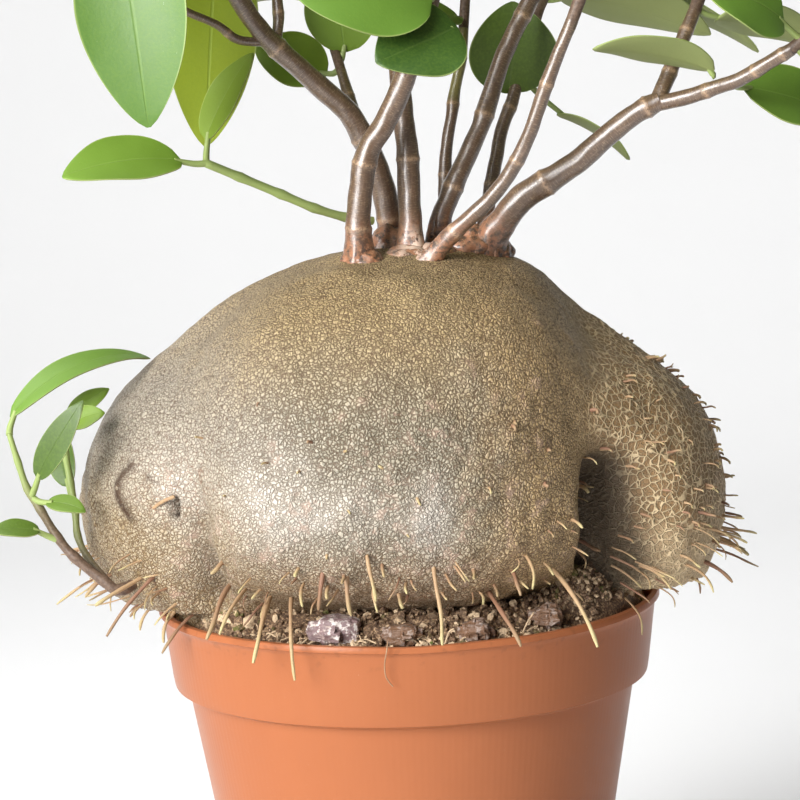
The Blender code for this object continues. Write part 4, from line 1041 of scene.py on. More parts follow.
def root_is_clear(place, margin=1.2):
    """True where a root's point is clear of the pot's rim, of the soil and of the basal shoot."""
    across = math.hypot(place[0], place[1])
    soil = SOIL_LEVEL + SOIL_ROUGHNESS + SOIL_FRONT_RISE + mound_height(place[0], place[1])
    near_pot = across < RIM_RADIUS + margin and place[2] < max(POT_HEIGHT, soil) + margin
    shoot = min((Vector(place) - Vector(point)).length for point in BASAL_SHOOT + BASAL_TWIG)
    chip = min((Vector(place) - Vector(centre)).length - max(axes) for centre, axes in SOIL_CHIPS)
    return not near_pot and shoot > ROOT_TO_SHOOT and chip > ROOT_TO_CHIP


def surface_along(tree, outward):
    """Where a line from the tuber's centre leaves its surface."""
    return tree.ray_cast(Vector(TUBER_CENTRE), outward)[0]


def drawn_vector(draw, *limits):
    return Vector([draw.uniform(*pair) for pair in limits])


def bend_and_tip(surface, outward, lean, length, share, droop):
    """Bend and tip of a root that grows outward and leans over."""
    bend = surface + (outward + lean * share).normalized() * length * 0.5
    tip = bend + (outward * share + lean + Vector((0, 0, droop))).normalized() * length * 0.5
    return bend, tip


def coarse_roots(tree):
    """Base, bend and tip of every root that the CAD solid has."""
    draw = random.Random(ROOT_SEED)
    roots = []
    for base, bend, tip in PLACED_ROOTS:
        outward = (Vector(base) - Vector(TUBER_CENTRE)).normalized()
        surface = surface_along(tree, outward)
        roots.append((surface - outward * ROOT_DEPTH, Vector(bend), Vector(tip)))
    for count, *limits in DRAWN_ROOTS:
        made = 0
        while made < count:
            angle, rise, length = (draw.uniform(*pair) for pair in limits)
            outward = Vector((math.cos(angle), math.sin(angle), rise)).normalized()
            surface = surface_along(tree, outward)
            lean = drawn_vector(draw, (-0.4, 0.4), (-0.4, 0.4), (-0.5, 0.1))
            bend, tip = bend_and_tip(surface, outward, lean, length, 0.5, -0.35)
            if root_is_clear(bend) and root_is_clear(tip) and root_is_clear((bend + surface) / 2):
                roots.append((surface - outward * ROOT_DEPTH, bend, tip))
                made += 1
    return roots


def small_roots(tree):
    """Short thin roots between the large ones: dense below, sparse on the right and the top."""
    draw = random.Random(SMALL_ROOT_SEED)
    roots = []
    while len(roots) < SMALL_ROOTS:
        angle = draw.uniform(0, 2 * math.pi)
        rise = draw.triangular(-0.48, 0.7, -0.3)
        in_front = math.cos(angle + math.pi / 2) > 0.55
        low_share = 0.22 if in_front else 1.0
        wanted = low_share if rise < -0.14 else (0.8 if math.cos(angle - 0.1) > 0.6 else 0.05)
        if draw.random() > wanted:
            continue
        outward = Vector((math.cos(angle), math.sin(angle), rise)).normalized()
        surface = surface_along(tree, outward)
        length = draw.triangular(3.0, 13.0, 5.0) if rise < -0.14 else draw.uniform(1.6, 4.0)
        lean = drawn_vector(draw, (-0.5, 0.5), (-0.5, 0.5), (-0.7, 0.1))
        bend, tip = bend_and_tip(surface, outward, lean, length, 0.4, 0.0)
        if root_is_clear(bend, 0.4) and root_is_clear(tip, 0.4):
            roots.append((surface - outward * SMALL_ROOT_DEPTH, bend, tip))
    return roots


def add_root(body, draw, base, bend, tip, radius, sides, steps):
    t = np.linspace(0, 1, steps)[:, None]
    base, bend, tip = (np.array(tuple(point)) for point in (base, bend, tip))
    middle = bend * 2 - (base + tip) / 2
    line = base * (1 - t) ** 2 + (bend * 0.6 + middle * 0.4) * 2 * t * (1 - t) + tip * t ** 2
    wiggle = np.array([draw.uniform(-1, 1) for _ in range(3)])
    line += np.sin(t * math.pi * draw.uniform(1.5, 2.6)) * t * wiggle * radius * 0.8
    t = t[:, 0]
    taper = 1.0 - 0.22 * t
    taper[-2:] *= (0.97, 0.6)
    knots = 1.0 + 0.10 * np.sin(t * draw.uniform(9, 17) + draw.uniform(0, 6))
    body.add_tube(line, radius * taper * knots, sides, tip=np.repeat(t, sides),
                  age=draw.uniform(0.0, 0.8))


def make_roots(tree, material):
    draw = random.Random(ROOT_SEED)
    roots = Body("tip", "age")
    for number, (base, bend, tip) in enumerate(coarse_roots(tree)):
        shorter = 1.0
        if number >= len(PLACED_ROOTS) and base[0] > 40:
            shorter = draw.uniform(0.30, 0.55)
        elif number >= len(PLACED_ROOTS) and base[1] < -36 and base[0] > -40:
            shorter = draw.uniform(0.25, 0.80)
        surface = base + (bend - base).normalized() * ROOT_DEPTH
        bend = surface + (bend - surface) * shorter
        tip = bend + (tip - bend) * shorter if shorter < 1.0 else tip
        thick = draw.uniform(0.50, 0.80) + (0.18 if number < len(PLACED_ROOTS) else 0.0)
        add_root(roots, draw, base, bend, tip, ROOT_RADIUS * thick, 9, 14)
    for base, bend, tip in small_roots(tree):
        add_root(roots, draw, base, bend, tip, draw.uniform(0.20, 0.42), 6, 8)
    for path, radius, age in HAIR_ROOTS:
        hair = smooth_line(path, 1.0)
        roots.add_tube(hair, np.full(len(hair), radius), 6, tip=0.2, age=age)
    return roots.piece("tuber_roots", material, "caudex_skin")


# Pot, soil and chips

def body_radius(height):
    """Outer radius of the pot's plain body below the rim band."""
    top = POT_HEIGHT - BAND_HEIGHT
    return BASE_RADIUS + (BODY_TOP_RADIUS - BASE_RADIUS) * height / top


def band_radius(height):
    """Outer radius of the rim band."""
    share = (height - POT_HEIGHT + BAND_HEIGHT) / BAND_HEIGHT
    return BAND_FOOT_RADIUS + (RIM_RADIUS - 0.8 - BAND_FOOT_RADIUS) * share


def inner_radius(height):
    """Radius of the pot's inside, with the step below the band."""
    step = POT_HEIGHT - BAND_HEIGHT - WALL
    return (band_radius(height) if height > step else body_radius(height)) - WALL


def turned(profile, sides):
    angles = np.arange(sides) * 2 * math.pi / sides
    profile = np.array(profile, float)
    round_about = np.stack([np.cos(angles), np.sin(angles)], axis=-1)
    flat = profile[:, None, :1] * round_about[None]
    heights = np.repeat(profile[:, 1:], sides, axis=1)[..., None]
    return np.concatenate([flat, heights], axis=-1)


def make_pot(material):
    foot = POT_HEIGHT - BAND_HEIGHT
    outside = [(BASE_RADIUS - 1.6, 0.0), (BASE_RADIUS - 0.5, 0.4), (BASE_RADIUS, 1.6)]
    outside += [(body_radius(height), height) for height in np.linspace(6.0, foot - 2.0, 12)]
    outside += [(body_radius(foot - 0.8), foot - 0.8), (BODY_TOP_RADIUS + 0.6, foot - 0.1),
                (BAND_FOOT_RADIUS - 0.6, foot), (BAND_FOOT_RADIUS - 0.15, foot + 0.2),
                (BAND_FOOT_RADIUS, foot + 0.8)]
    outside += [(band_radius(height), height)
                for height in np.linspace(foot + 3.0, POT_HEIGHT - 3.2, 8)]
    outside += [(band_radius(POT_HEIGHT - LIP) + 0.25, POT_HEIGHT - LIP),
                (RIM_RADIUS, POT_HEIGHT - 1.6), (RIM_RADIUS, POT_HEIGHT - 0.6),
                (RIM_RADIUS - 0.25, POT_HEIGHT - 0.15), (RIM_RADIUS - 0.7, POT_HEIGHT)]
    inside = [(inner_radius(POT_HEIGHT) + 0.4, POT_HEIGHT - 0.1),
              (inner_radius(POT_HEIGHT), POT_HEIGHT - 1.0), (inner_radius(foot + 0.5), foot + 0.5),
              (inner_radius(foot - WALL), foot - WALL - 1.0),
              (inner_radius(FLOOR + 1.0), FLOOR + 1.0), (inner_radius(FLOOR) - 1.5, FLOOR)]
    rings = turned(outside + inside, POT_SIDES)
    angles = np.arctan2(rings[..., 1], rings[..., 0])
    front = np.exp(-((angles + math.pi / 2) / DENT_ANGLE) ** 2)
    high = np.clip((rings[..., 2] - DENT_LEVEL) / (POT_HEIGHT - DENT_LEVEL), 0.0, 1.0) ** 2
    ease = 1.0 - DENT_SHARE * front * high + RIM_WAVE_SHARE * np.sin(angles * 5 + 1.0) * high
    rings[..., :2] *= ease[..., None]
    rings[..., 2] -= DENT_DROP * front * high
    pot = Body()
    pot.add_rings(rings)
    item = pot.piece("nursery_pot", material, "pot_plastic", "pot", sharp=38.0)
    cutters = []
    for number in range(DRAIN_HOLES):
        angle = 2 * math.pi * (number + 0.5) / DRAIN_HOLES
        hole = turned([(DRAIN_HOLE_RADIUS, -2.0), (DRAIN_HOLE_RADIUS, FLOOR + 3.0)], 32)
        hole += np.array([math.cos(angle), math.sin(angle), 0.0]) * DRAIN_HOLE_CIRCLE
        mesh = bpy.data.meshes.new("drain_hole")
        mesh.from_pydata((hole.reshape(-1, 3) * MM).tolist(), [], loft(hole))
        cutters.append(linked("drain_hole", mesh))
        cut = item.modifiers.new("drain_hole", "BOOLEAN")
        cut.operation = "DIFFERENCE"
        cut.object = cutters[-1]
    drilled = bpy.data.meshes.new_from_object(item.evaluated_get(bpy.context.evaluated_depsgraph_get()))
    item.modifiers.clear()
    item.data = drilled
    for cutter in cutters:
        bpy.data.objects.remove(cutter, do_unlink=True)
    return item


def soil_height(x, y):
    """Height of the soil's uneven top."""
    places = np.stack([x, y, np.zeros_like(x)], axis=-1)
    banks = mounds(x, y, SOIL_BANKS) * np.clip((RIM_RADIUS - 3.5 - np.hypot(x, y)) / 5.0, 0.0, 1.0)
    return (SOIL_LEVEL + SOIL_FRONT_RISE * np.maximum(0.0, -y / RIM_RADIUS) + mound_height(x, y)
            + banks + waves(places, SOIL_WAVES))


def twenty_sided():
    """Corners of a regular solid with twenty faces and edges 2 long."""
    corners = []
    for a, b in ((-1, -GOLDEN_RATIO), (-1, GOLDEN_RATIO), (1, -GOLDEN_RATIO), (1, GOLDEN_RATIO)):
        corners += [(a, b, 0), (0, a, b), (b, 0, a)]
    return np.array(corners)


def crumb_shape(draw, size):
    """Points of an angular crumb of this size."""
    corners = twenty_sided() / math.hypot(1, GOLDEN_RATIO)
    corners = corners * draw.uniform(0.65, 1.15, size=(12, 1)) * draw.uniform(0.5, 1.3, size=3)
    turn = Matrix.Rotation(draw.uniform(0, 6.28), 3, Vector(draw.normal(size=3)).normalized())
    return corners @ np.array(turn).T * size


def crumb_faces():
    """The twenty outward triangles of every three corners that are 2 apart."""
    corners = twenty_sided()
    faces = []
    for i, j, k in itertools.combinations(range(12), 3):
        sides = [np.linalg.norm(corners[p] - corners[q]) for p, q in ((i, j), (j, k), (i, k))]
        if max(sides) < 2.01:
            middle = corners[i] + corners[j] + corners[k]
            turn = np.cross(corners[j] - corners[i], corners[k] - corners[i]) @ middle
            faces.append((i, j, k) if turn > 0 else (i, k, j))
    return faces


def make_soil(material):
    """The packed soil with its crumbs and fibres on top."""
    step = POT_HEIGHT - BAND_HEIGHT - WALL
    outer = inner_radius(SOIL_LEVEL) - GAP - 0.3
    side = [(inner_radius(FLOOR + 3.0) - 2.5 - GAP, FLOOR + GAP),
            (inner_radius(FLOOR + 3.0) - GAP, FLOOR + 3.0),
            (inner_radius(step) - GAP - 0.1, step - 1.0),
            (inner_radius(step + 2.5) - GAP - 0.2, step + 2.5),
            (outer, SOIL_LEVEL - 1.5)]
    top = [(radius, SOIL_LEVEL) for radius in np.linspace(outer - 0.1, 1.0, 46)]
    rings = turned(side + top, 180)
    upper = rings[len(side):]
    upper[..., 2] = soil_height(upper[..., 0].ravel(), upper[..., 1].ravel()).reshape(upper.shape[:2])
    soil = Body("shade")
    soil.add_rings(rings, shade=0.3)
    draw = np.random.default_rng(CRUMB_SEED)
    faces = crumb_faces()
    for number in range(CRUMBS + BANK_CRUMBS):
        angle = draw.uniform(0, 2 * math.pi)
        reach = outer - 0.8 - abs(draw.normal()) * 9.0
        x, y = reach * math.cos(angle), reach * math.sin(angle)
        if number >= CRUMBS:
            middle, spread, _ = SOIL_BANKS[number % len(SOIL_BANKS)]
            x, y = draw.normal(middle, np.array(spread) * 0.6)
            if math.hypot(x, y) > outer - 1.0:
                continue
        size = min(draw.uniform(*CRUMB_SIZE) + draw.exponential(CRUMB_SIZE[0]), CRUMB_LIMIT)
        height = soil_height(np.array([x]), np.array([y]))[0] + size * 0.35
        shape = crumb_shape(draw, size) + np.array([x, y, height])
        soil.add(shape, faces, shade=draw.uniform(0.0, 1.0) ** 1.4)
    fibre_draw = random.Random(CRUMB_SEED)
    for _ in range(SOIL_FIBRES):
        angle = fibre_draw.uniform(0, 2 * math.pi)
        reach = outer - fibre_draw.uniform(2.0, 10.0)
        start = Vector((reach * math.cos(angle), reach * math.sin(angle), SOIL_LEVEL + 1.5))
        run = Vector((fibre_draw.uniform(-1, 1), fibre_draw.uniform(-1, 1), 0.25)).normalized()
        end = start + run * fibre_draw.uniform(*FIBRE_LENGTH)
        if math.hypot(end[0], end[1]) < outer - 1.0:
            middle = (start + end) / 2 + Vector((0, 0, fibre_draw.uniform(0.5, 1.8)))
            line = smooth_line((start, middle, end), 0.8)
            soil.add_tube(line, np.full(len(line), fibre_draw.uniform(*FIBRE_RADIUS)), 5, shade=0.8)
    return soil.piece("soil_and_crumbs", material, "soil", "potting_soil", sharp=40.0)


def make_chips(material):
    directions, triangles = ball_grid(LUMP_DIVISIONS)
    spread = directions * 10
    for number, (centre, axes) in enumerate(SOIL_CHIPS):
        facets = np.round(directions * 1.6 + clouds(spread, 9.0, number + 3)[:, None] * 0.25) / 1.6
        mixed = directions * 0.55 + facets * 0.45
        rough = 0.98 + clouds(spread, 5.0, number) * 0.10 + clouds(spread, 1.6, number) * 0.05
        chip = Body("brown")
        points = np.array(centre) + mixed * rough[:, None] * np.array(axes)
        chip.add(points, triangles.tolist(), brown=0.0 if number == 0 else 1.0)
        chip.piece("chip_%d" % (number + 1), material, "chip", "soil_chip_%d" % (number + 1),
                   sharp=28.0)


# Woody stems

def peeling(points):
    """How far the bark has peeled at each point."""
    return np.clip(patch(points, *PEELED_BARK) * 1.6, 0, 1)


def add_stem(body, path, first, last, nodes, foot, green_from=None):
    """One stem or fork with ringed nodes, a flared and ribbed foot and an uneven barky surface."""
    line = smooth_line(path, STEM_STEP)
    line[-1] += (line[-1] - line[-2]) / np.linalg.norm(line[-1] - line[-2]) * GAP
    share = np.linspace(0, 1, len(line))
    radii = first + (last - first) * share
    ring = np.zeros(len(line))
    for level in nodes:
        index = int(np.argmin(np.abs(line[:, 2] - level)))
        gap = np.linalg.norm(line - line[index], axis=1)
        swelling = NODE_SWELLING[0] * np.exp(-(gap / NODE_SWELLING[1]) ** 2)
        mark = np.exp(-(gap / NODE_RING[1]) ** 2)
        radii += first * (swelling + NODE_RING[0] * mark)
        ring = np.maximum(ring, mark)
    base = np.zeros(len(line))
    if foot:
        base = np.clip(1.0 - (line[:, 2] - foot) / STEM_FOOT_HEIGHT, 0.0, 1.0)
    radii = radii * (1.0 + 0.36 * base ** 2 + 0.22 * base ** 6)
    rings, along, around = tube_rings(line, radii, STEM_SIDES)
    flat = rings.reshape(-1, 3)
    centres = np.repeat(line, STEM_SIDES, axis=0)
    outward = flat - centres
    size = np.repeat(radii, STEM_SIDES)
    base = np.repeat(base, STEM_SIDES)
    rough = clouds(flat, 3.0, 21) * 0.045 + clouds(flat * (1, 1, 0.35), 1.2, 22) * 0.02
    bulge = clouds(np.stack([along * 0.25, np.cos(around), np.sin(around)], axis=-1), 1.1, 23) * 0.05
    strands = (clouds(flat * (1, 1, 0.25), 2.2, 24) * 0.16 + clouds(flat, 1.3, 25) * 0.10 * base) * base
    ribs = np.sin(around * 5 + first * 3) * 0.06 * base ** 3
    points = centres + outward * (1.0 + rough + bulge + strands + ribs)[:, None]
    green = np.clip((points[:, 2] - green_from) / 3.0, 0, 1) if green_from else 0.0
    body.add(points, loft(rings), along=along, around=around * size, ring=np.repeat(ring, STEM_SIDES),
             low=np.clip(base * 1.5, 0, 1), peel=peeling(points), green=green)


def add_crown_lump(body, centre, axes, seed):
    """A rough lump of woody tissue where the stems meet the tuber."""
    directions, triangles = ball_grid(LUMP_DIVISIONS)
    spread = directions * 10
    rough = 1.0 + clouds(spread, 5.0, seed) * 0.16 + clouds(spread, 2.0, seed + 1) * 0.07
    points = np.array(centre) + directions * rough[:, None] * np.array(axes)
    body.add(points, triangles.tolist(), along=points[:, 2], around=points[:, 0] - points[:, 1],
             low=1.0, peel=peeling(points))


def make_stems(material):
    for number, (path, first, last) in WOODY_STEMS.items():
        stem = Body("along", "around", "ring", "low", "green", "peel")
        fit = STEM_FIT[number]
        add_stem(stem, path, first * fit, last * fit, STEM_NODES[number], STEM_FOOT_LEVEL,
                 GREEN_FROM.get(number))
        for key, (parent, fork_path, fork_first, fork_last) in WOODY_FORKS.items():
            if parent == number:
                add_stem(stem, fork_path, fork_first * fit, fork_last * fit, STEM_NODES[key], None)
        for place, (centre, axes) in enumerate(CROWN_LUMPS.get(number, ())):
            add_crown_lump(stem, centre, axes, number * 3 + place)
        stem.piece("barked_stem_%d" % number, material, "bark", "woody_stem_%d" % number)


# Leaves

def leaf_shape(base, direction, normal, length, width, curl, thick):
    """Points and triangles of the CAD solid's thin arched leaf."""
    direction = Vector(direction).normalized()
    normal = Vector(normal)
    normal = (normal - direction * normal.dot(direction)).normalized()
    side = direction.cross(normal)
    base = Vector(base)
    points = []
    arc = length / curl
    for along, breadth in ((0.0, 0.07), (0.30, 0.94), (0.68, 0.84)):
        turn = curl * along
        place = base + direction * math.sin(turn) * arc - normal * (1 - math.cos(turn)) * arc
        up = normal * math.cos(turn) + direction * math.sin(turn)
        half = max(width * breadth / 2, 0.7)
        edge = up * LEAF_FOLD * half
        points += [place - side * half + edge, place + up * thick / 2,
                   place + side * half + edge, place - up * thick / 2]
    points.append(base + direction * math.sin(curl) * arc - normal * (1 - math.cos(curl)) * arc)
    faces = [(0, 1, 2), (0, 2, 3)]
    for near in (0, 4):
        far = near + 4
        for first, second in ((0, 1), (2, 1), (0, 3), (2, 3)):
            faces.append((near + first, near + second, far + first))
            faces.append((near + second, far + second, far + first))
    for first, second in ((0, 1), (1, 2), (2, 3), (3, 0)):
        faces.append((8 + first, 8 + second, 12))
    return points, faces


def placed_leaf(base, tip, width, facing, curl=0.5):
    """Direction, normal and length of a leaf whose base and tip are known."""
    chord = Vector(tip) - Vector(base)
    normal = Vector(facing)
    normal = (normal - chord.normalized() * normal.dot(chord.normalized())).normalized()
    direction = chord.normalized() * math.cos(curl / 2) + normal * math.sin(curl / 2)
    length = chord.length * (curl / 2) / math.sin(curl / 2)
    return dict(base=base, direction=direction, normal=normal, length=length, width=width, curl=curl)


def tree_of(points, faces):
    return BVHTree.FromPolygons([tuple(point) for point in points], faces)


def tree_of_node(name):
    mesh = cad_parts[name].data
    return tree_of([vertex.co / MM for vertex in mesh.vertices],
                   [tuple(face.vertices) for face in mesh.polygons])


def leaf_tree(leaf, thicker=LEAF_MARGIN):
    """The CAD solid's leaf, made thicker, to be tested against its neighbours."""
    return tree_of(*leaf_shape(thick=COARSE_LEAF_THICKNESS + thicker, **leaf))


def leaf_is_clear(leaf, obstacles):
    """True if the leaf, made a little larger all round, touches no obstacle."""
    larger = dict(leaf, width=leaf["width"] + 2 * CLEARANCE, length=leaf["length"] + CLEARANCE)
    tree = leaf_tree(larger, 2 * CLEARANCE)
    return not any(tree.overlap(other) for other in obstacles)


def shoot_path(start, tangent, tip, pairs):
    """A gently bent centre line from the end of the wood to the shoot's tip."""
    start, tip = Vector(start), Vector(tip)
    first = start + tangent * (GAP + 0.05)
    bend = first + tangent * (tip - first).length * 0.45
    steps = pairs + 2
    path = []
    for step in range(steps):
        t = step / (steps - 1)
        path.append(first * (1 - t) ** 2 + bend * 2 * t * (1 - t) + tip * t ** 2)
    return path


def stalk_foot(lines, leaf):
    """The point of the centre lines that a leaf's stalk leaves from."""
    behind = Vector(leaf["base"]) - leaf["direction"] * 6.0
    nearest = []
    for line in lines:
        for a, b in zip(line[:-1], line[1:]):
            span = b - a
            t = (behind - a).dot(span) / span.length_squared
            inset = min(0.4, 1.2 / span.length)
            nearest.append(a + span * min(1.0 - inset, max(inset, t)))
    return min(nearest, key=lambda point: (point - behind).length)


def drawn_leaf(draw, stem_point, tangent, outward, share, attempt):
    """A leaf of the opposite pairs: up and out near the tip, more level further down."""
    scale = 1.0 - 0.035 * attempt
    length = draw.uniform(*LEAF_LENGTH) * scale * (1.0 - 0.35 * share ** 3)
    lift = 0.25 + 0.9 * share + draw.uniform(-0.35, 0.35)
    turn = draw.uniform(-0.12, 0.12) * (1 + attempt)
    spread = outward * math.cos(turn) + tangent.cross(outward) * math.sin(turn)
    direction = (spread + Vector((0, 0, 1)) * lift * 0.5 + tangent * 0.3).normalized()
    normal = Vector((0, 0, 1)) + tangent * 0.5 - spread * 0.3
    return dict(base=stem_point + direction * (PETIOLE + SHOOT_RADIUS), direction=direction,
                normal=normal, length=length, width=length * LEAF_WIDTH_RATIO * draw.uniform(0.9, 1.1),
                curl=draw.uniform(0.35, 0.9))


def shoot_leaves(key, path, obstacles):
    """Opposite leaves of one shoot with the point of the stem each stalk leaves from."""
    leaves = []
    outward = Vector((1, 0, 0)).cross((path[-1] - path[0]).normalized()).normalized()
    for index in range(1, len(path)):
        tangent = (path[index] - path[index - 1]).normalized()
        outward = (outward - tangent * outward.dot(tangent)).normalized()
        outward = tangent.cross(outward)
        share = index / (len(path) - 1)
        stem_point = path[index] if index < len(path) - 1 else path[index] - tangent * 1.5
        for sign in (1, -1):
            draw = random.Random("leaf %s %d %d" % (key, index, sign))
            for attempt in range(TRIES):
                leaf = drawn_leaf(draw, stem_point, tangent, outward * sign, share, attempt)
                if leaf_is_clear(leaf, obstacles):
                    leaves.append((leaf, stem_point))
                    obstacles.append(leaf_tree(leaf))
                    break
    return leaves


def leaf_breadth(along):
    """Share of the leaf's full width along its length."""
    return 0.07 * (1 - along) ** 4 + np.sin(math.pi * np.clip(along, 0, 1) ** 0.86) ** 0.72 * 0.97


def add_leaf(body, leaf, foot, tone, yellow, draw, rows=30, columns=15):
    """One leathery leaf with a sunk midrib, a wavy edge and a stalk from its foot."""
    direction = np.array(Vector(leaf["direction"]).normalized())
    normal = np.array(Vector(leaf["normal"]))
    normal = normal - direction * (normal @ direction)
    normal /= np.linalg.norm(normal)
    side = np.cross(direction, normal)
    base = np.array(tuple(leaf["base"]), float)
    along = np.linspace(0, 1, rows) ** 0.9
    along[-1] = 0.996
    turn = leaf["curl"] * along
    arc = leaf["length"] / leaf["curl"]
    spine = base + np.sin(turn)[:, None] * arc * direction - (1 - np.cos(turn))[:, None] * arc * normal
    up = np.cos(turn)[:, None] * normal + np.sin(turn)[:, None] * direction
    half = np.maximum(leaf["width"] * leaf_breadth(along) / 2, 0.25)
    across = np.sin(np.linspace(-1, 1, columns) * math.pi / 2)
    wave = draw.uniform(0, 6.28)
    sway = draw.uniform(-0.05, 0.05) * leaf["width"]
    edge = np.abs(across) ** 3
    length, breadth = along[:, None], half[:, None]
    lift = LEAF_FOLD * breadth * across ** 2
    lift = lift + LEAF_WAVE * breadth * edge * np.sin(length * 11 + wave)
    thick = LEAF_THICKNESS * (0.5 - 0.32 * edge) * np.minimum(1, breadth)
    rib = RIB_DEPTH * np.exp(-(across * breadth / RIB_WIDTH) ** 2) * (1 - length)
    spread = breadth * across + sway * np.sin(length * math.pi)
    flat = spine[:, None] + spread[..., None] * side
    upper, lower = (flat + offset[..., None] * up[:, None]
                    for offset in (lift + (thick - rib), lift + (-thick - rib * 2.0)))
    rings = np.concatenate([upper, lower[:, ::-1]], axis=1)
    wide = np.tile(np.concatenate([across, across[::-1]]), rows)
    below = np.tile(np.concatenate([np.zeros(columns), np.ones(columns)]), rows)
    body.add_rings(rings, across=wide, under=below, tone=tone, yellow=yellow)
    start = np.array(tuple(foot), float)
    bend = (start + base) / 2 - np.array([0, 0, 0.4])
    line = smooth_line((start, bend, base + direction * 2.0), 0.8)
    taper = STALK_RADIUS * (1.15 - 0.35 * np.linspace(0, 1, len(line)))
    body.add_tube(line, taper, 9, stalk=1.0, tone=tone, yellow=yellow, across=0.5)


def add_shoot_stem(body, path, radii, wood, wood_radius=None):
    """A green shoot with small swellings at its leaf pairs, as thick at its foot as the wood."""
    line = smooth_line(path, 1.2)
    given = np.concatenate([[0], np.cumsum([(b - a).length for a, b in zip(path[:-1], path[1:])])])
    walked = distances_along(line)
    walked *= given[-1] / walked[-1]
    smooth = np.interp(walked, given, radii)
    for mark in given[1:-1]:
        smooth *= 1.0 + 0.22 * np.exp(-((walked - mark) / 1.5) ** 2)
    if wood_radius:
        smooth += (wood_radius - radii[0]) * np.exp(-walked / 12.0)
    smooth[-1] *= 0.4
    woody = np.interp(walked / given[-1], np.linspace(0, 1, len(wood)), wood)
    body.add_tube(line, smooth, SHOOT_SIDES, stalk=1.0, tone=STALK_TONE, across=0.5,
                  wood=np.repeat(woody, SHOOT_SIDES))


def coarse_tube_tree(path, radii):
    """A shoot's tube with as few sides as the CAD solid has."""
    line = np.array([tuple(point) for point in path], float)
    rings = tube_rings(line, radii, COARSE_SHOOT_SIDES)[0]
    return tree_of(rings.reshape(-1, 3), loft(rings))


def wood_end(key):
    """End point and direction of the stem or fork that carries a shoot."""
    path = WOODY_STEMS[int(key)][0] if key.isdigit() else WOODY_FORKS[key][1]
    tangent = (Vector(path[-1]) - Vector(path[-2])).normalized()
    return Vector(path[-1]), tangent


def wood_end_radius(key):
    """Radius of the wood where a shoot leaves it, if it leaves wood at all."""
    if key in WOODY_FORKS:
        return WOODY_FORKS[key][3] * STEM_FIT[WOODY_FORKS[key][0]]
    return WOODY_STEMS[int(key)][2] * STEM_FIT[int(key)] if key.isdigit() else None


def shoot_lines():
    """Centre line and radii of every shoot."""
    paths, radii = {}, {}
    for key, (tip, pairs) in SHOOTS.items():
        start, tangent = wood_end(key)
        paths[key] = shoot_path(start, tangent, tip, pairs)
        count = len(paths[key])
        thin = THIN_SHARE if key in THIN_SHOOTS else 1.0
        radii[key] = [(SHOOT_RADIUS + (SHOOT_TIP_RADIUS - SHOOT_RADIUS) * i / (count - 1)) * thin
                      for i in range(count)]
    paths["low"] = [Vector(point) for point in LOW_SHOOT]
    radii["low"] = [LOW_SHOOT_RADIUS] * len(LOW_SHOOT)
    paths["basal"] = [Vector(point) for point in BASAL_SHOOT]
    radii["basal"] = [BASAL_RADIUS * (1 - 0.6 * i / len(BASAL_SHOOT)) for i in range(len(BASAL_SHOOT))]
    return paths, radii


def make_shoots(material, basal_material):
    """The leafy crown, the low shoot and the basal shoot, with the leaves where the CAD has them."""
    obstacles = [tree_of_node("woody_stem_%d" % number) for number in WOODY_STEMS]
    obstacles.append(tree_of_node("caudex"))
    paths, radii = shoot_lines()
    twig = [Vector(point) for point in BASAL_TWIG]
    obstacles += [coarse_tube_tree(paths[key], radii[key]) for key in paths]
    fixed = dict(PLACED_LEAVES, low=LOW_SHOOT_LEAVES, basal=BASAL_LEAVES)
    leaves = {}
    for key, places in fixed.items():
        lines = [paths[key]] + ([twig] if key == "basal" else [])
        leaves[key] = []
        for base, tip, width, facing, *curl in places:
            leaf = placed_leaf(base, tip, width, facing, *curl)
            leaves[key].append((leaf, stalk_foot(lines, leaf)))
            obstacles.append(leaf_tree(leaf))
    for number, (foot, base, tip, width, facing) in enumerate(WOOD_LEAVES):
        leaf = placed_leaf(base, tip, width, facing)
        obstacles.append(leaf_tree(leaf))
        lone = Body(*LEAF_VALUES)
        add_leaf(lone, leaf, foot, *WOOD_LEAF_TONES[number], random.Random(number))
        lone.piece("fork_leaf_%d" % (number + 1), material, "foliage", "wood_leaf_%d" % (number + 1))
    for key in SHOOTS:
        leaves.setdefault(key, []).extend(shoot_leaves(key, paths[key], obstacles))
    for key in paths:
        draw = random.Random("tone " + key)
        shoot = Body(*LEAF_VALUES)
        wood = WOODINESS.get(key, CROWN_WOODINESS)
        add_shoot_stem(shoot, paths[key], radii[key], wood, wood_end_radius(key))
        if key == "basal":
            add_shoot_stem(shoot, twig, [TWIG_RADIUS] * len(twig), TWIG_WOODINESS)
        tones = LEAF_TONES.get(key, ())
        for index, (leaf, foot) in enumerate(leaves[key]):
            if index < len(tones):
                tone, yellow = tones[index]
            else:
                tone, yellow = draw.uniform(0.15, 0.8), draw.uniform(0.0, 0.3)
            add_leaf(shoot, leaf, foot, tone, yellow, draw)
        dressed = basal_material if key == "basal" else material
        slot = "basal_foliage" if key == "basal" else "foliage"
        node = "basal_shoot" if key == "basal" else "leafy_shoot_" + key
        shoot.piece("shoot_" + key, dressed, slot, node)


# Room, light and camera

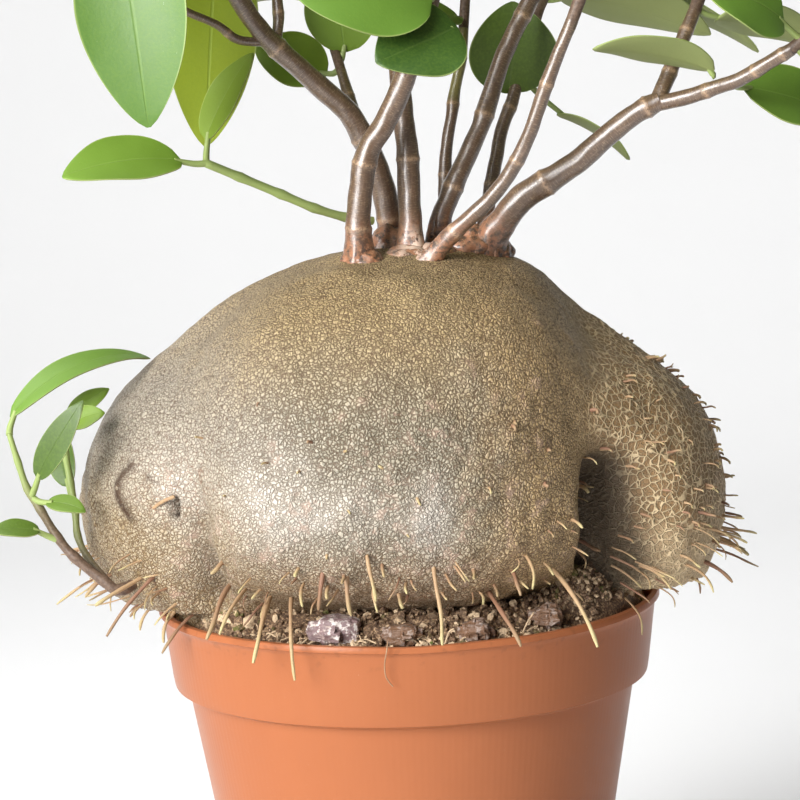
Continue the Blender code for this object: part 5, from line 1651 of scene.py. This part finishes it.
def make_backdrop():
    """A seamless white sheet: floor, curve and wall."""
    profile = [(SWEEP_FRONT, 0.0), (SWEEP_CURVE_START, 0.0)]
    for step in range(1, SWEEP_CURVE_STEPS + 1):
        angle = step / SWEEP_CURVE_STEPS * math.pi / 2
        profile.append((SWEEP_CURVE_START + SWEEP_CURVE_RADIUS * math.sin(angle),
                        SWEEP_CURVE_RADIUS - SWEEP_CURVE_RADIUS * math.cos(angle)))
    profile.append((SWEEP_CURVE_START + SWEEP_CURVE_RADIUS, SWEEP_HEIGHT))
    points = [(x, y, z) for y, z in profile for x in (-SWEEP_HALF_WIDTH, SWEEP_HALF_WIDTH)]
    faces = [(2 * i, 2 * i + 1, 2 * i + 3, 2 * i + 2) for i in range(len(profile) - 1)]
    mesh = bpy.data.meshes.new("paper_sweep")
    mesh.from_pydata(points, [], faces)
    mesh.shade_smooth()
    mesh.materials.append(paper_white("backdrop_paper"))
    sweep = linked("paper_sweep", mesh)


def add_softbox(name, place, target, size, power, spread):
    light = bpy.data.lights.new(name, "AREA")
    light.shape = "RECTANGLE"
    light.size, light.size_y = size
    light.energy = power
    light.spread = math.radians(spread)
    item = linked(name, light)
    item.location = place
    item.rotation_euler = (Vector(target) - Vector(place)).to_track_quat("-Z", "Y").to_euler()


def make_lights():
    world = bpy.data.worlds.new("studio")
    world.use_nodes = True
    sky = world.node_tree.nodes["Background"]
    sky.inputs["Color"].default_value = (1.0, 1.0, 1.0, 1.0)
    sky.inputs["Strength"].default_value = WORLD_STRENGTH
    bpy.context.scene.world = world
    for name, settings in SOFTBOXES.items():
        add_softbox(name, *settings)


def make_camera():
    """The photograph's view: from in front, a little above, turned slightly about the view line."""
    camera = bpy.data.cameras.new("camera")
    camera.sensor_width = CAMERA_SENSOR
    camera.lens = CAMERA_LENS
    item = linked("camera", camera)
    turn = Matrix((CAMERA_RIGHT, CAMERA_UP, -CAMERA_FORWARD)).transposed().to_4x4()
    item.matrix_world = Matrix.Translation(CAMERA_PLACE) @ turn
    bpy.context.scene.camera = item


def dress():
    bpy.context.scene.view_settings.view_transform = "Standard"
    make_tuber(tuber_skin())
    make_roots(coarse_tuber_tree(), root_skin())
    make_pot(pot_plastic())
    make_soil(soil_matter())
    make_chips(chip_matter())
    make_stems(stem_bark())
    make_shoots(leaf_green("leaf_green"), leaf_green("young_leaf_green"))
    make_backdrop()
    make_lights()
    make_camera()


dress()
